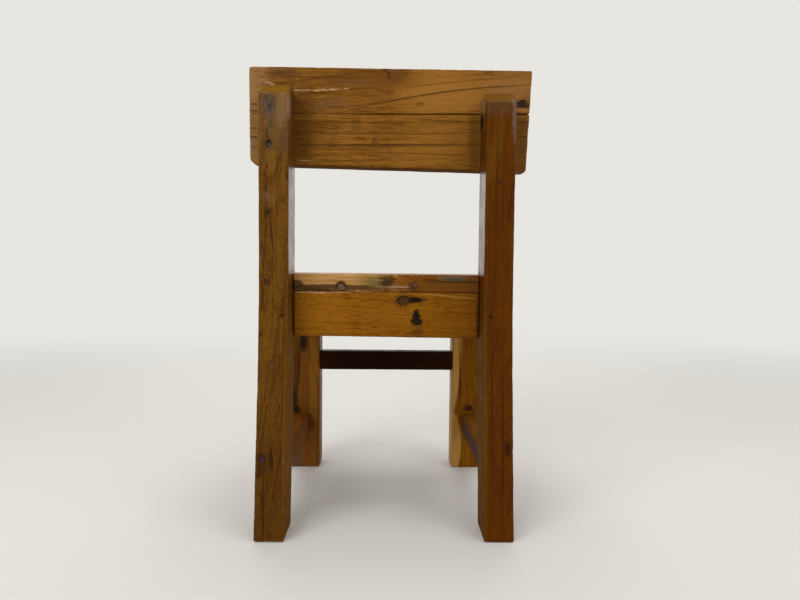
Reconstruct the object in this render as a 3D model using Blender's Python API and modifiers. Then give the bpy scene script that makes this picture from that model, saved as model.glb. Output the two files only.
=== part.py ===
"""A small child's chair, made by hand from reclaimed softwood.

Two rear posts, bent at seat height, carry a back of two boards on their front faces. Four seat
rails and three stretchers are tenoned into the posts and the front legs. Three seat planks are
nailed on the rails. Metres, +Z up, the chair faces -Y, and its left side is at +X. The origin
is on the floor, under the middle of the chair's box.
"""

import math

import bmesh
import bpy
from mathutils import Matrix, Vector

for old in list(bpy.data.objects):
    bpy.data.objects.remove(old, do_unlink=True)

# Play between two pieces that touch, and the rounding of a worn arris.
CLEARANCE = 0.0003
ARRIS = 0.0016
ARRIS_STEPS = 2

# The stance: over the outer faces, and from the posts' rear faces to the front legs.
LEG_SPREAD = 0.300
POST_TO_LEG = 0.235
SEAT_HEIGHT = 0.308

# Rear posts. They are vertical above the bend and rake backwards below it.
POST_WIDTH = 0.035
POST_DEPTH = 0.0524
BEND_HEIGHT = 0.250
BEND_RADIUS = 1.2
BEND_STEPS = 8
RAKE = math.radians(7.0)
POST_TOP_CHAMFER_DEPTH = 0.0194
POST_TOP_CHAMFER_HEIGHT = 0.0153
POST_BELOW_BOARD_TOP = {"left": 0.033, "right": 0.038}

# Front legs.
LEG_WIDTH = 0.0456
LEG_DEPTH = 0.041

# Back: two boards glued edge to edge and cut as one. The lower edge, the ends and the joint
# aren't square, and the joint has come open at its right end.
BOARD_ABOVE_SEAT = 0.135
BOARD_HEIGHT = {"left": 0.120, "right": 0.126}
BOARD_THICKNESS = 0.022
BOARD_OVERHANG = {"left": 0.0226, "right": 0.0297}
BOARD_END_SLANT = {"left": 0.0009, "right": 0.0059}
BOARD_TOP_RADIUS = {"left": 0.003, "right": 0.0012}
BOARD_LOW_RADIUS = {"left": 0.0095, "right": 0.0035}
CORNER_STEPS = 4
JOINT_BELOW_TOP = {"left": 0.0577, "right": 0.0531}
JOINT_OPENING = {"left": 0.0003, "right": 0.0012}

# Seat rails, under the seat.
RAIL_HEIGHT = 0.0545
RAIL_THICKNESS = 0.020
REAR_RAIL_SETBACK = 0.0305
REAR_RAIL_DROP = 0.002
RAIL_SHOULDER = 0.006
TENON_THICKNESS = 0.010

# Stretchers, near the floor at the sides and higher up in front.
SIDE_STRETCHER_BOTTOM = 0.0575
SIDE_STRETCHER_HEIGHT = 0.0295
SIDE_STRETCHER_THICKNESS = 0.0235
FRONT_STRETCHER_BOTTOM = 0.1557
FRONT_STRETCHER_HEIGHT = 0.0296
FRONT_STRETCHER_THICKNESS = 0.0225
STRETCHER_SHOULDER = 0.004
STRETCHER_TENON_LENGTH = 0.018

# Seat planks, laid across the chair. The front one takes what is left of the depth.
PLANK_THICKNESS = 0.022
REAR_PLANK_WIDTH = 0.084
MIDDLE_PLANK_WIDTH = 0.086
PLANK_GAP = 0.0015
SEAT_SIDE_OVERHANG = 0.005
SEAT_FRONT_OVERHANG = 0.012
REAR_EDGE_SETBACK = 0.0015
WANE_HEIGHT = 0.0062
WANE_DEPTH = 0.0075
WANE_LENGTH = {"left": 0.100, "right": 0.075}

# Nails, all of one size, with their heads just under the surface.
NAIL_LENGTH = 0.044
NAIL_RADIUS = 0.0013
NAIL_HEAD_RADIUS = 0.0024
NAIL_HEAD_HEIGHT = 0.0012
NAIL_POINT = 0.004
NAIL_CONE = math.radians(45.0)
NAIL_SIDES = 12
HEAD_SUNK = 0.0003
RAIL_NAIL_INSET = 0.0082
BOARD_NAIL_INSET = 0.018
END_NAIL_REACH = 0.055
PLANK_NAIL_SPACING = 0.042

# How far a cutter reaches past the face that it opens, and a tenon back into its rail.
OPEN_REACH = 0.006

# Points nearer than this are one. Faces that turn less than the first angle are one flat face,
# an arris turns more than the second, and an edge runs along an axis within the third.
WELD = 0.00001
FLAT_TURN = 0.0001
ARRIS_TURN = math.radians(25.0)
ALONG_TURN = math.radians(5.0)

# The axes across and along the chair, as places in a vector.
X, Y = 0, 1

# Places that follow from the sizes above.
SIDES = {"left": 1, "right": -1}
HALF_SPREAD = LEG_SPREAD / 2
CENTRE_X = (BOARD_OVERHANG["right"] - BOARD_OVERHANG["left"]) / 2
POST_X = HALF_SPREAD - POST_WIDTH / 2
SEAT_DEPTH_OUT = POST_TO_LEG + LEG_DEPTH + SEAT_FRONT_OVERHANG
FOOT_REACH = BEND_HEIGHT * math.tan(RAKE) + POST_DEPTH / 2 * (1 / math.cos(RAKE) - 1)
POST_REAR_Y = (SEAT_DEPTH_OUT - FOOT_REACH) / 2
POST_Y = POST_REAR_Y - POST_DEPTH / 2
POST_FRONT_Y = POST_REAR_Y - POST_DEPTH
LEG_REAR_Y = POST_REAR_Y - POST_TO_LEG
LEG_FRONT_Y = LEG_REAR_Y - LEG_DEPTH
LEG_Y = LEG_REAR_Y - LEG_DEPTH / 2
SEAT_FRONT_Y = LEG_FRONT_Y - SEAT_FRONT_OVERHANG
PLANK_BOTTOM = SEAT_HEIGHT - PLANK_THICKNESS
RAIL_TOP = PLANK_BOTTOM - CLEARANCE
RAIL_BOTTOM = RAIL_TOP - RAIL_HEIGHT
REAR_RAIL_Y = POST_REAR_Y - REAR_RAIL_SETBACK - RAIL_THICKNESS / 2
BOARD_REAR_Y = POST_FRONT_Y - CLEARANCE
BOARD_FRONT_Y = BOARD_REAR_Y - BOARD_THICKNESS
BOARD_TOP = SEAT_HEIGHT + BOARD_ABOVE_SEAT + BOARD_HEIGHT["left"]


def collection(name):
    made = bpy.data.collections.new(name)
    bpy.context.scene.collection.children.link(made)
    return made


CHAIR = collection("childs_chair")
CUTTERS = collection("cutters")


def finish(name, colour, roughness, metallic=0.0):
    """A Principled BSDF material of one colour."""
    made = bpy.data.materials.new(name)
    made.use_nodes = True
    shader = made.node_tree.nodes["Principled BSDF"]
    shader.inputs["Base Color"].default_value = (*colour, 1.0)
    shader.inputs["Roughness"].default_value = roughness
    shader.inputs["Metallic"].default_value = metallic
    return made


def add_object(name, mesh, material=None):
    """Puts a mesh in the chair, or among the cutters where it has no material."""
    obj = bpy.data.objects.new(name, mesh)
    if material:
        CHAIR.objects.link(obj)
        mesh.materials.append(material)
    else:
        CUTTERS.objects.link(obj)
        obj.hide_render = True
        obj.display_type = "WIRE"
    return obj


def box(name, low, high, material=None):
    """A block between two corners, with its object at its middle."""
    size = [top - bottom for bottom, top in zip(low, high)]
    mesh = bpy.data.meshes.new(name)
    shape = bmesh.new()
    bmesh.ops.create_cube(shape, size=1.0, matrix=Matrix.Diagonal((*size, 1.0)))
    shape.to_mesh(mesh)
    shape.free()
    obj = add_object(name, mesh, material)
    obj.location = [(bottom + top) / 2 for bottom, top in zip(low, high)]
    return obj


PLANES = {
    "XY": Matrix.Identity(3),
    "XZ": Matrix(((1, 0, 0), (0, 0, -1), (0, 1, 0))),
    "YZ": Matrix(((0, 0, 1), (1, 0, 0), (0, 1, 0))),
}


def outline_solid(name, points, plane, middle, thickness, material=None):
    """A flat outline in a plane, given its thickness to both sides of middle."""
    curve = bpy.data.curves.new(name, "CURVE")
    curve.dimensions = "2D"
    curve.fill_mode = "BOTH"
    curve.extrude = thickness / 2
    spline = curve.splines.new("POLY")
    spline.points.add(len(points) - 1)
    for spot, (across, up) in zip(spline.points, points):
        spot.co = (across, up, 0.0, 1.0)
    spline.use_cyclic_u = True
    guide = bpy.data.objects.new(name + "_outline", curve)
    CUTTERS.objects.link(guide)
    guide.matrix_world = PLANES[plane].to_4x4()
    guide.location = PLANES[plane] @ Vector((0.0, 0.0, middle))
    bpy.context.view_layer.update()
    graph = bpy.context.evaluated_depsgraph_get()
    mesh = bpy.data.meshes.new_from_object(guide.evaluated_get(graph))
    mesh.name = name
    mesh.materials.clear()
    shape = bmesh.new()
    shape.from_mesh(mesh)
    bmesh.ops.remove_doubles(shape, verts=shape.verts, dist=WELD)
    bmesh.ops.dissolve_limit(shape, angle_limit=FLAT_TURN, verts=shape.verts, edges=shape.edges)
    shape.to_mesh(mesh)
    shape.free()
    obj = add_object(name, mesh, material)
    obj.matrix_world = guide.matrix_world
    bpy.data.objects.remove(guide)
    return obj


def ease(obj):
    """Rounds every arris of a piece."""
    bevel = obj.modifiers.new("worn arrises", "BEVEL")
    bevel.width = ARRIS
    bevel.segments = ARRIS_STEPS
    bevel.limit_method = "ANGLE"
    bevel.angle_limit = ARRIS_TURN


def ease_where(obj, wanted):
    """Rounds the arrises that wanted picks by their two ends, and leaves the others square."""
    shape = bmesh.new()
    shape.from_mesh(obj.data)
    weight = shape.edges.layers.float.new("bevel_weight_edge")
    for edge in shape.edges:
        first, last = (obj.matrix_world @ corner.co for corner in edge.verts)
        edge[weight] = 1.0 if wanted(first, last) else 0.0
    shape.to_mesh(obj.data)
    shape.free()
    bevel = obj.modifiers.new("worn arrises", "BEVEL")
    bevel.width = ARRIS
    bevel.segments = ARRIS_STEPS
    bevel.limit_method = "WEIGHT"


def ease_along(obj, axis):
    """Rounds the arrises along one axis, and leaves the shoulders square."""

    def runs_along(first, last):
        way = last - first
        return abs(way[axis]) > way.length * math.cos(ALONG_TURN)

    ease_where(obj, runs_along)


def boolean(obj, other, operation):
    made = obj.modifiers.new(other.name, "BOOLEAN")
    made.operation = operation
    made.solver = "EXACT"
    made.object = other


def cut(obj, *cutters):
    for cutter in cutters:
        boolean(obj, cutter, "DIFFERENCE")


def add_to(obj, *others):
    for other in others:
        boolean(obj, other, "UNION")


def across(side, distance):
    """The X of a point that lies this far to one side of the chair's middle."""
    return CENTRE_X + SIDES[side] * distance


def span(first, second):
    return min(first, second), max(first, second)


def bend_face(offset):
    """The bend of a post's face: its two ends and the points between, from the top down.

    offset is the face's distance from the post's middle line, positive towards the rear.
    """
    start = BEND_HEIGHT + BEND_RADIUS * math.tan(RAKE / 2)
    radius = BEND_RADIUS - offset
    points = []
    for step in range(BEND_STEPS + 1):
        turn = RAKE * step / BEND_STEPS
        y = POST_Y + BEND_RADIUS - radius * math.cos(turn)
        points.append((y, start - radius * math.sin(turn)))
    return points


def post_face(offset, foot):
    """A face's line from above the bend to the foot."""
    points = bend_face(offset)
    low_y, low_z = points[-1]
    return points + [(low_y + (low_z - foot) * math.tan(RAKE), foot)]


def post_front_y(height):
    """Where a post's front face is at one height."""
    line = post_face(-POST_DEPTH / 2, 0.0)
    if height >= line[0][1]:
        return line[0][0]
    for (upper_y, upper_z), (lower_y, lower_z) in zip(line, line[1:]):
        if height >= lower_z:
            share = (upper_z - height) / (upper_z - lower_z)
            return upper_y + share * (lower_y - upper_y)
    return line[-1][0]


def post_outline(top, foot, grown, chamfered):
    """The side outline of a rear post. grown moves both faces out, for a cutter."""
    half = POST_DEPTH / 2 + grown
    front = post_face(-half, foot)
    rear = post_face(half, foot)
    head = [(POST_Y - half, top)]
    if chamfered:
        head.insert(0, (POST_Y + half - POST_TOP_CHAMFER_DEPTH, top))
        head.insert(0, (POST_Y + half, top - POST_TOP_CHAMFER_HEIGHT))
    else:
        head.insert(0, (POST_Y + half, top))
    return head + front + rear[::-1]


def rear_post(side, material):
    top = BOARD_TOP - POST_BELOW_BOARD_TOP[side]
    outline = post_outline(top, 0.0, 0.0, True)
    post = outline_solid(
        f"rear_post_{side}", outline, "YZ", across(side, POST_X), POST_WIDTH, material
    )
    ease(post)
    return post


def post_scribe(side):
    """The post's own shape and the clearance, which scribes the shoulders that meet it."""
    outline = post_outline(BOARD_TOP, -OPEN_REACH, CLEARANCE, False)
    return outline_solid(
        f"post_scribe_{side}", outline, "YZ", across(side, POST_X), POST_WIDTH
    )


def front_leg(side, material):
    low_x, high_x = span(across(side, HALF_SPREAD - LEG_WIDTH), across(side, HALF_SPREAD))
    leg = box(
        f"front_leg_{side}",
        (low_x, LEG_FRONT_Y, 0.0),
        (high_x, LEG_REAR_Y, RAIL_TOP),
        material,
    )
    ease(leg)
    return leg


def corner_arc(corner, before, after, radius):
    """A rounded corner of an outline, from the side of before to the side of after."""
    corner, before, after = Vector(corner), Vector(before), Vector(after)
    back = (before - corner).normalized()
    ahead = (after - corner).normalized()
    half = back.angle(ahead) / 2
    middle = corner + (back + ahead).normalized() * radius / math.sin(half)
    first = corner + back * radius / math.tan(half) - middle
    last = corner + ahead * radius / math.tan(half) - middle
    turn = first.angle_signed(last)
    points = []
    for step in range(CORNER_STEPS + 1):
        points.append(tuple(middle + Matrix.Rotation(-turn * step / CORNER_STEPS, 2) @ first))
    return points


def back_corner(side, below_top, radius=0.0):
    """A corner of one of the back's boards, on the slanted end that both were cut to."""
    reach = HALF_SPREAD + BOARD_OVERHANG[side]
    reach -= BOARD_END_SLANT[side] * below_top / BOARD_HEIGHT[side]
    return across(side, reach), BOARD_TOP - below_top, radius


def back_board(name, corners, material):
    """One board of the back. Its corners without a radius are the ends of the joint."""
    outline = []
    joint_ends = []
    for index, (x, z, radius) in enumerate(corners):
        before = corners[index - 1][:2]
        after = corners[(index + 1) % len(corners)][:2]
        if radius:
            outline += corner_arc((x, z), before, after, radius)
        else:
            outline.append((x, z))
            joint_ends.append(Vector((x, z)))
    middle_y = (BOARD_REAR_Y + BOARD_FRONT_Y) / 2
    board = outline_solid(name, outline, "XZ", -middle_y, BOARD_THICKNESS, material)

    def at_joint(point):
        return min((point.xz - end).length for end in joint_ends) < CLEARANCE / 10

    def is_arris(first, last):
        in_face = abs(first.y - last.y) < CLEARANCE
        return in_face and not (at_joint(first) and at_joint(last))

    ease_where(board, is_arris)
    return board


def back(material):
    """The upper and the lower board, with the joint open as far as the lower one's edge drops."""
    below = JOINT_BELOW_TOP
    upper = (
        back_corner("right", 0.0, BOARD_TOP_RADIUS["right"]),
        back_corner("right", below["right"]),
        back_corner("left", below["left"]),
        back_corner("left", 0.0, BOARD_TOP_RADIUS["left"]),
    )
    lower = (
        back_corner("right", below["right"] + JOINT_OPENING["right"]),
        back_corner("right", BOARD_HEIGHT["right"], BOARD_LOW_RADIUS["right"]),
        back_corner("left", BOARD_HEIGHT["left"], BOARD_LOW_RADIUS["left"]),
        back_corner("left", below["left"] + JOINT_OPENING["left"]),
    )
    return (
        back_board("back_board_upper", upper, material),
        back_board("back_board_lower", lower, material),
    )


def mitred_tenon(name, side, runs, corner_y, toward, shoulder):
    """A seat rail's tenon, mitred where it meets the other rail's tenon in the same post.

    runs is X for the rear and front rails and Y for the side rails. toward is the way along
    Y from the corner to the side rail, and shoulder is where the tenon starts.
    """
    half = TENON_THICKNESS / 2
    if runs == "X":
        points = [
            (shoulder, corner_y + half),
            (shoulder, corner_y - half),
            (POST_X + toward * half - CLEARANCE, corner_y - half),
            (POST_X - toward * half - CLEARANCE, corner_y + half),
        ]
    else:
        points = [
            (POST_X - half, shoulder),
            (POST_X + half, shoulder),
            (POST_X + half, corner_y - toward * (half - CLEARANCE)),
            (POST_X - half, corner_y + toward * (half + CLEARANCE)),
        ]
    low = RAIL_BOTTOM + RAIL_SHOULDER
    high = RAIL_TOP - RAIL_SHOULDER
    placed = [(across(side, x), y) for x, y in points]
    return outline_solid(name, placed, "XY", (low + high) / 2, high - low)


def corner_mortise(name, side, runs, corner_y, toward, mouth):
    """One arm of the mortise in which two mitred tenons meet. mouth is where it opens."""
    half = TENON_THICKNESS / 2 + CLEARANCE
    if runs == "X":
        low_x, high_x = mouth, POST_X + half
        low_y, high_y = corner_y - half, corner_y + half
    else:
        low_x, high_x = POST_X - half, POST_X + half
        low_y, high_y = span(corner_y - toward * half, mouth)
    low_x, high_x = span(across(side, low_x), across(side, high_x))
    return box(
        name,
        (low_x, low_y, RAIL_BOTTOM + RAIL_SHOULDER - CLEARANCE),
        (high_x, high_y, RAIL_TOP - RAIL_SHOULDER + CLEARANCE),
    )


def straight_tenon(name, side, low, high, grown=0.0):
    """A stretcher's tenon or, grown, its mortise. The corners are given for the left side."""
    low_x, high_x = span(across(side, low[0] - grown), across(side, high[0] + grown))
    return box(
        name,
        (low_x, low[1] - grown, low[2] - grown),
        (high_x, high[1] + grown, high[2] + grown),
    )


def cross_rail(name, centre_y, inner_x, drop, toward, posts, material):
    """The rear or front seat rail, which runs across and has a mitred tenon at each end."""
    reach = inner_x - CLEARANCE
    outline = [
        (across("right", reach), RAIL_TOP),
        (across("right", reach), RAIL_BOTTOM - drop),
        (across("left", reach), RAIL_BOTTOM),
        (across("left", reach), RAIL_TOP),
    ]
    rail = outline_solid(name, outline, "XZ", -centre_y, RAIL_THICKNESS, material)
    ease_along(rail, X)
    for side in SIDES:
        start = reach - OPEN_REACH
        tenon = mitred_tenon(f"{name}_tenon_{side}", side, "X", centre_y, toward, start)
        add_to(rail, tenon)
        name_there = f"{name}_mortise_{side}"
        cut(posts[side], corner_mortise(name_there, side, "X", centre_y, toward, start))
    return rail


def side_rail(side, post, leg, scribe, material):
    """A side seat rail, scribed to the post's bend and mitred to both cross rails."""
    half = RAIL_THICKNESS / 2
    low_x, high_x = span(across(side, POST_X - half), across(side, POST_X + half))
    rail = box(
        f"side_seat_rail_{side}",
        (low_x, LEG_REAR_Y + CLEARANCE, RAIL_BOTTOM),
        (high_x, REAR_RAIL_Y, RAIL_TOP),
        material,
    )
    ease_along(rail, Y)
    cut(rail, scribe)
    ends = (
        ("rear", REAR_RAIL_Y, -1, POST_FRONT_Y - OPEN_REACH, post),
        ("front", LEG_Y, 1, LEG_REAR_Y + OPEN_REACH, leg),
    )
    for end, corner_y, toward, start, carrier in ends:
        name = f"side_rail_{end}_tenon_{side}"
        add_to(rail, mitred_tenon(name, side, "Y", corner_y, toward, start))
        name = f"side_rail_{end}_mortise_{side}"
        cut(carrier, corner_mortise(name, side, "Y", corner_y, toward, start))
    return rail


def side_stretcher(side, post, leg, scribe, material):
    """A side stretcher, with its rear shoulder scribed to the raked post."""
    bottom = SIDE_STRETCHER_BOTTOM
    top = bottom + SIDE_STRETCHER_HEIGHT
    half = SIDE_STRETCHER_THICKNESS / 2
    shoulder_y = post_front_y(top)
    low_x, high_x = span(across(side, POST_X - half), across(side, POST_X + half))
    bar = box(
        f"side_stretcher_{side}",
        (low_x, LEG_REAR_Y + CLEARANCE, bottom),
        (high_x, shoulder_y + POST_DEPTH / 2, top),
        material,
    )
    ease_along(bar, Y)
    cut(bar, scribe)
    half = TENON_THICKNESS / 2
    low_z = bottom + STRETCHER_SHOULDER
    high_z = top - STRETCHER_SHOULDER
    ends = (
        ("rear", shoulder_y - OPEN_REACH, shoulder_y + STRETCHER_TENON_LENGTH, post),
        ("front", LEG_REAR_Y - STRETCHER_TENON_LENGTH, LEG_REAR_Y + OPEN_REACH, leg),
    )
    for end, low_y, high_y, carrier in ends:
        corners = ((POST_X - half, low_y, low_z), (POST_X + half, high_y, high_z))
        add_to(bar, straight_tenon(f"side_stretcher_{end}_tenon_{side}", side, *corners))
        name = f"side_stretcher_{end}_mortise_{side}"
        cut(carrier, straight_tenon(name, side, *corners, CLEARANCE))
    return bar


def front_stretcher(legs, material):
    """The dark stretcher between the front legs, flush with their rear faces."""
    inner_x = HALF_SPREAD - LEG_WIDTH
    bottom = FRONT_STRETCHER_BOTTOM
    top = bottom + FRONT_STRETCHER_HEIGHT
    middle_y = LEG_REAR_Y - FRONT_STRETCHER_THICKNESS / 2
    reach = inner_x - CLEARANCE
    bar = box(
        "front_stretcher",
        (across("right", reach), LEG_REAR_Y - FRONT_STRETCHER_THICKNESS, bottom),
        (across("left", reach), LEG_REAR_Y, top),
        material,
    )
    ease_along(bar, X)
    half = TENON_THICKNESS / 2
    corners = (
        (reach - OPEN_REACH, middle_y - half, bottom + STRETCHER_SHOULDER),
        (inner_x + STRETCHER_TENON_LENGTH, middle_y + half, top - STRETCHER_SHOULDER),
    )
    for side in SIDES:
        add_to(bar, straight_tenon(f"front_stretcher_tenon_{side}", side, *corners))
        name = f"front_stretcher_mortise_{side}"
        cut(legs[side], straight_tenon(name, side, *corners, CLEARANCE))
    return bar


def plank_limits():
    """Each plank's front and rear edge."""
    rear = POST_REAR_Y - REAR_RAIL_SETBACK - REAR_EDGE_SETBACK
    middle = rear - REAR_PLANK_WIDTH - PLANK_GAP
    front = middle - MIDDLE_PLANK_WIDTH - PLANK_GAP
    return {
        "rear": (rear - REAR_PLANK_WIDTH, rear),
        "middle": (middle - MIDDLE_PLANK_WIDTH, middle),
        "front": (SEAT_FRONT_Y, front),
    }


def wane(name, side, edge_y, edge_z, down):
    """A slanting cut along the rear edge of the seat, where the plank keeps the tree's bark side.

    It is deepest beside the post and runs out towards the middle. down is -1 at the upper
    arris and 1 at the lower one.
    """
    inner = HALF_SPREAD - POST_WIDTH
    deep = across(side, inner)
    thin = across(side, inner - WANE_LENGTH[side])
    at_edge = Vector((deep, edge_y, edge_z + down * WANE_HEIGHT))
    on_face = Vector((deep, edge_y - WANE_DEPTH, edge_z))
    run_out = Vector((thin, edge_y, edge_z))
    normal = (on_face - at_edge).cross(run_out - at_edge).normalized()
    if normal.y < 0:
        normal.negate()
    size = REAR_PLANK_WIDTH
    cutter = box(name, (-size, -size, 0.0), (size, size, size))
    turn = normal.to_track_quat("Z", "X")
    cutter.rotation_mode = "QUATERNION"
    cutter.rotation_quaternion = turn
    cutter.location = at_edge + normal * size / 2
    return cutter


def seat_plank(name, limits, material):
    low_y, high_y = limits
    end_x = HALF_SPREAD + SEAT_SIDE_OVERHANG
    if name == "rear":
        notch_x = HALF_SPREAD - POST_WIDTH - CLEARANCE
        notch_y = POST_FRONT_Y - CLEARANCE
        half = [(end_x, low_y), (end_x, notch_y), (notch_x, notch_y), (notch_x, high_y)]
    else:
        half = [(end_x, low_y), (end_x, high_y)]
    outline = [(across("left", x), y) for x, y in half]
    outline += [(across("right", x), y) for x, y in half[::-1]]
    middle_z = PLANK_BOTTOM + PLANK_THICKNESS / 2
    plank = outline_solid(
        f"seat_plank_{name}", outline, "XY", middle_z, PLANK_THICKNESS, material
    )
    ease(plank)
    if name == "rear":
        cut(plank, wane("upper_wane", "right", high_y, SEAT_HEIGHT, -1))
        cut(plank, wane("lower_wane", "left", high_y, PLANK_BOTTOM, 1))
    return plank


def nail_mesh(name, grown):
    """A nail along -Z with its head at the origin or, grown, the hole that it leaves."""
    head = NAIL_HEAD_RADIUS + grown
    shank = NAIL_RADIUS + grown
    top = OPEN_REACH if grown else 0.0
    under_head = -NAIL_HEAD_HEIGHT - grown * math.tan(NAIL_CONE / 2)
    profile = [
        (0.0, top),
        (head, top),
        (head, under_head),
        (shank, under_head - (head - shank) / math.tan(NAIL_CONE)),
        (shank, -NAIL_LENGTH + NAIL_POINT),
        (0.0, -NAIL_LENGTH + NAIL_POINT - NAIL_POINT * shank / NAIL_RADIUS),
    ]
    mesh = bpy.data.meshes.new(name)
    edges = [(index, index + 1) for index in range(len(profile) - 1)]
    mesh.from_pydata([(radius, 0.0, z) for radius, z in profile], edges, [])
    return mesh


def turn_round(obj):
    screw = obj.modifiers.new("turned", "SCREW")
    screw.axis = "Z"
    screw.steps = NAIL_SIDES
    screw.render_steps = NAIL_SIDES
    screw.use_merge_vertices = True
    screw.merge_threshold = WELD
    screw.use_smooth_shade = True


NAIL_MESH = nail_mesh("nail", 0.0)
NAIL_HOLE_MESH = nail_mesh("nail_hole", CLEARANCE)


def nail(name, spot, way, pieces):
    """A nail driven at spot, in the direction way, through each of the pieces."""
    way = Vector(way)
    turn = (-way).to_track_quat("Z", "Y")
    hole = add_object(f"{name}_hole", NAIL_HOLE_MESH)
    driven = bpy.data.objects.new(name, NAIL_MESH)
    CHAIR.objects.link(driven)
    for obj in (driven, hole):
        obj.rotation_mode = "QUATERNION"
        obj.rotation_quaternion = turn
        obj.location = Vector(spot) + way * HEAD_SUNK
        turn_round(obj)
    for piece in pieces:
        cut(piece, hole)


# Colours as the varnished timber shows them, each piece in its own tone.
SEAT_WOOD = finish("golden seat planks", (0.36, 0.17, 0.06), 0.4)
BOARD_WOOD = finish("mid brown back boards", (0.26, 0.12, 0.045), 0.35)
RAIL_WOOD = finish("orange brown seat rails", (0.34, 0.15, 0.045), 0.35)
LEG_WOOD = finish("golden brown front legs", (0.32, 0.15, 0.05), 0.35)
DARK_WOOD = finish("dark red brown stretcher", (0.06, 0.018, 0.012), 0.3)
STRETCHER_WOOD = finish("red brown side stretchers", (0.24, 0.1, 0.035), 0.35)
POST_WOOD = {
    "left": finish("olive brown left post", (0.19, 0.1, 0.035), 0.3),
    "right": finish("red brown right post", (0.15, 0.06, 0.028), 0.3),
}
NAIL_MESH.materials.append(finish("darkened steel", (0.07, 0.06, 0.055), 0.55, 1.0))

posts = {side: rear_post(side, POST_WOOD[side]) for side in SIDES}
legs = {side: front_leg(side, LEG_WOOD) for side in SIDES}
scribes = {side: post_scribe(side) for side in SIDES}
upper_board, lower_board = back(BOARD_WOOD)

rear_rail = cross_rail(
    "rear_seat_rail", REAR_RAIL_Y, HALF_SPREAD - POST_WIDTH, REAR_RAIL_DROP, -1, posts, RAIL_WOOD
)
front_rail = cross_rail(
    "front_seat_rail", LEG_Y, HALF_SPREAD - LEG_WIDTH, 0.0, 1, legs, RAIL_WOOD
)
side_rails = {}
for side in SIDES:
    side_rails[side] = side_rail(side, posts[side], legs[side], scribes[side], RAIL_WOOD)
    side_stretcher(side, posts[side], legs[side], scribes[side], STRETCHER_WOOD)
front_stretcher(legs, DARK_WOOD)

limits = plank_limits()
planks = {name: seat_plank(name, limits[name], SEAT_WOOD) for name in limits}

# Two nails pin the rear rail's tenons through the posts, and two the front rail's.
rail_nail_z = (RAIL_TOP + RAIL_BOTTOM) / 2
for side in SIDES:
    x = across(side, HALF_SPREAD - POST_WIDTH + RAIL_NAIL_INSET)
    spot = (x, POST_REAR_Y, rail_nail_z)
    nail(f"rear_rail_nail_{side}", spot, (0, -1, 0), (posts[side], rear_rail))
    x = across(side, HALF_SPREAD - LEG_WIDTH + RAIL_NAIL_INSET)
    spot = (x, LEG_FRONT_Y, rail_nail_z)
    nail(f"front_rail_nail_{side}", spot, (0, 1, 0), (legs[side], front_rail))

# Three nails through the back into each post: two in the lower board and one in the upper.
for side in SIDES:
    joint = BOARD_TOP - JOINT_BELOW_TOP[side]
    post_top = BOARD_TOP - POST_BELOW_BOARD_TOP[side]
    places = (
        ("lower", BOARD_TOP - BOARD_HEIGHT[side] + BOARD_NAIL_INSET, lower_board),
        ("middle", joint - BOARD_NAIL_INSET, lower_board),
        ("upper", (joint + post_top) / 2, upper_board),
    )
    for level, z, board in places:
        spot = (across(side, POST_X), BOARD_FRONT_Y, z)
        nail(f"board_nail_{side}_{level}", spot, (0, 1, 0), (board, posts[side]))

# Four nails a seat plank, into the side rails and, at the rear and the front, the cross rails.
for side in SIDES:
    rear_y = (POST_FRONT_Y + limits["rear"][0]) / 2
    middle_y = sum(limits["middle"]) / 2
    front_y = (LEG_REAR_Y + limits["front"][1]) / 2
    rail = side_rails[side]
    places = (
        ("rear", "side", POST_X, rear_y, rail),
        ("rear", "end", END_NAIL_REACH, REAR_RAIL_Y, rear_rail),
        ("middle", "rear", POST_X, middle_y + PLANK_NAIL_SPACING / 2, rail),
        ("middle", "front", POST_X, middle_y - PLANK_NAIL_SPACING / 2, rail),
        ("front", "side", POST_X, front_y, rail),
        ("front", "end", END_NAIL_REACH, LEG_Y, front_rail),
    )
    for plank, place, x, y, carrier in places:
        spot = (across(side, x), y, SEAT_HEIGHT)
        nail(f"{plank}_plank_nail_{place}_{side}", spot, (0, 0, -1), (planks[plank], carrier))
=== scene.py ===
"""The looks of a small child's chair, made by hand from reclaimed softwood and varnished brown.

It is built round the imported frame: metres, +Z up, the chair faces -Y, and its left side is at +X.
The camera looks at its rear, so the chair's left side is also the picture's left side.
"""

import math

import bmesh
import bpy
import numpy as np
from mathutils import Euler, Matrix, Vector


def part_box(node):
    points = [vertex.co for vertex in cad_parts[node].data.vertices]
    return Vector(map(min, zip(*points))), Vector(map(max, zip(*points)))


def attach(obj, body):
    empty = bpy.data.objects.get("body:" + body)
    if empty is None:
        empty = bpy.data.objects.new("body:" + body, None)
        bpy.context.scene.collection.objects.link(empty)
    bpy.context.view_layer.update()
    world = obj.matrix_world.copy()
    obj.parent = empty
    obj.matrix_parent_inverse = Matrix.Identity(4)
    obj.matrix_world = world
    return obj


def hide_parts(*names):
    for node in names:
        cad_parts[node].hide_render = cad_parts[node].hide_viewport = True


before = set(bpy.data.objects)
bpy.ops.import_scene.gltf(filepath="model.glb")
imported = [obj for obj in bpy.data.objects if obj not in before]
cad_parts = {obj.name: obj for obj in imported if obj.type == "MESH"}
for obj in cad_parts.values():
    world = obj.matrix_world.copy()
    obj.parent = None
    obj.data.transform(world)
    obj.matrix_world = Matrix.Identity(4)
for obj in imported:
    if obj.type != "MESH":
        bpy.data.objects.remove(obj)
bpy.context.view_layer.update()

# The place that the chair is seen in. It stands on a pale floor under soft, even light, and the
# camera is behind it, a little above the seat, turned and rolled as a hand-held one is. Far from
# the chair the floor turns into the pale wall behind it.
CAMERA_PLACE = (0.0016, 0.8336, 0.3128)
CAMERA_TURN = math.radians(1.146)
CAMERA_DOWN = math.radians(2.83)
CAMERA_ROLL = math.radians(0.573)
LENS = 27.0
SENSOR_WIDTH = 36.0
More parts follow.
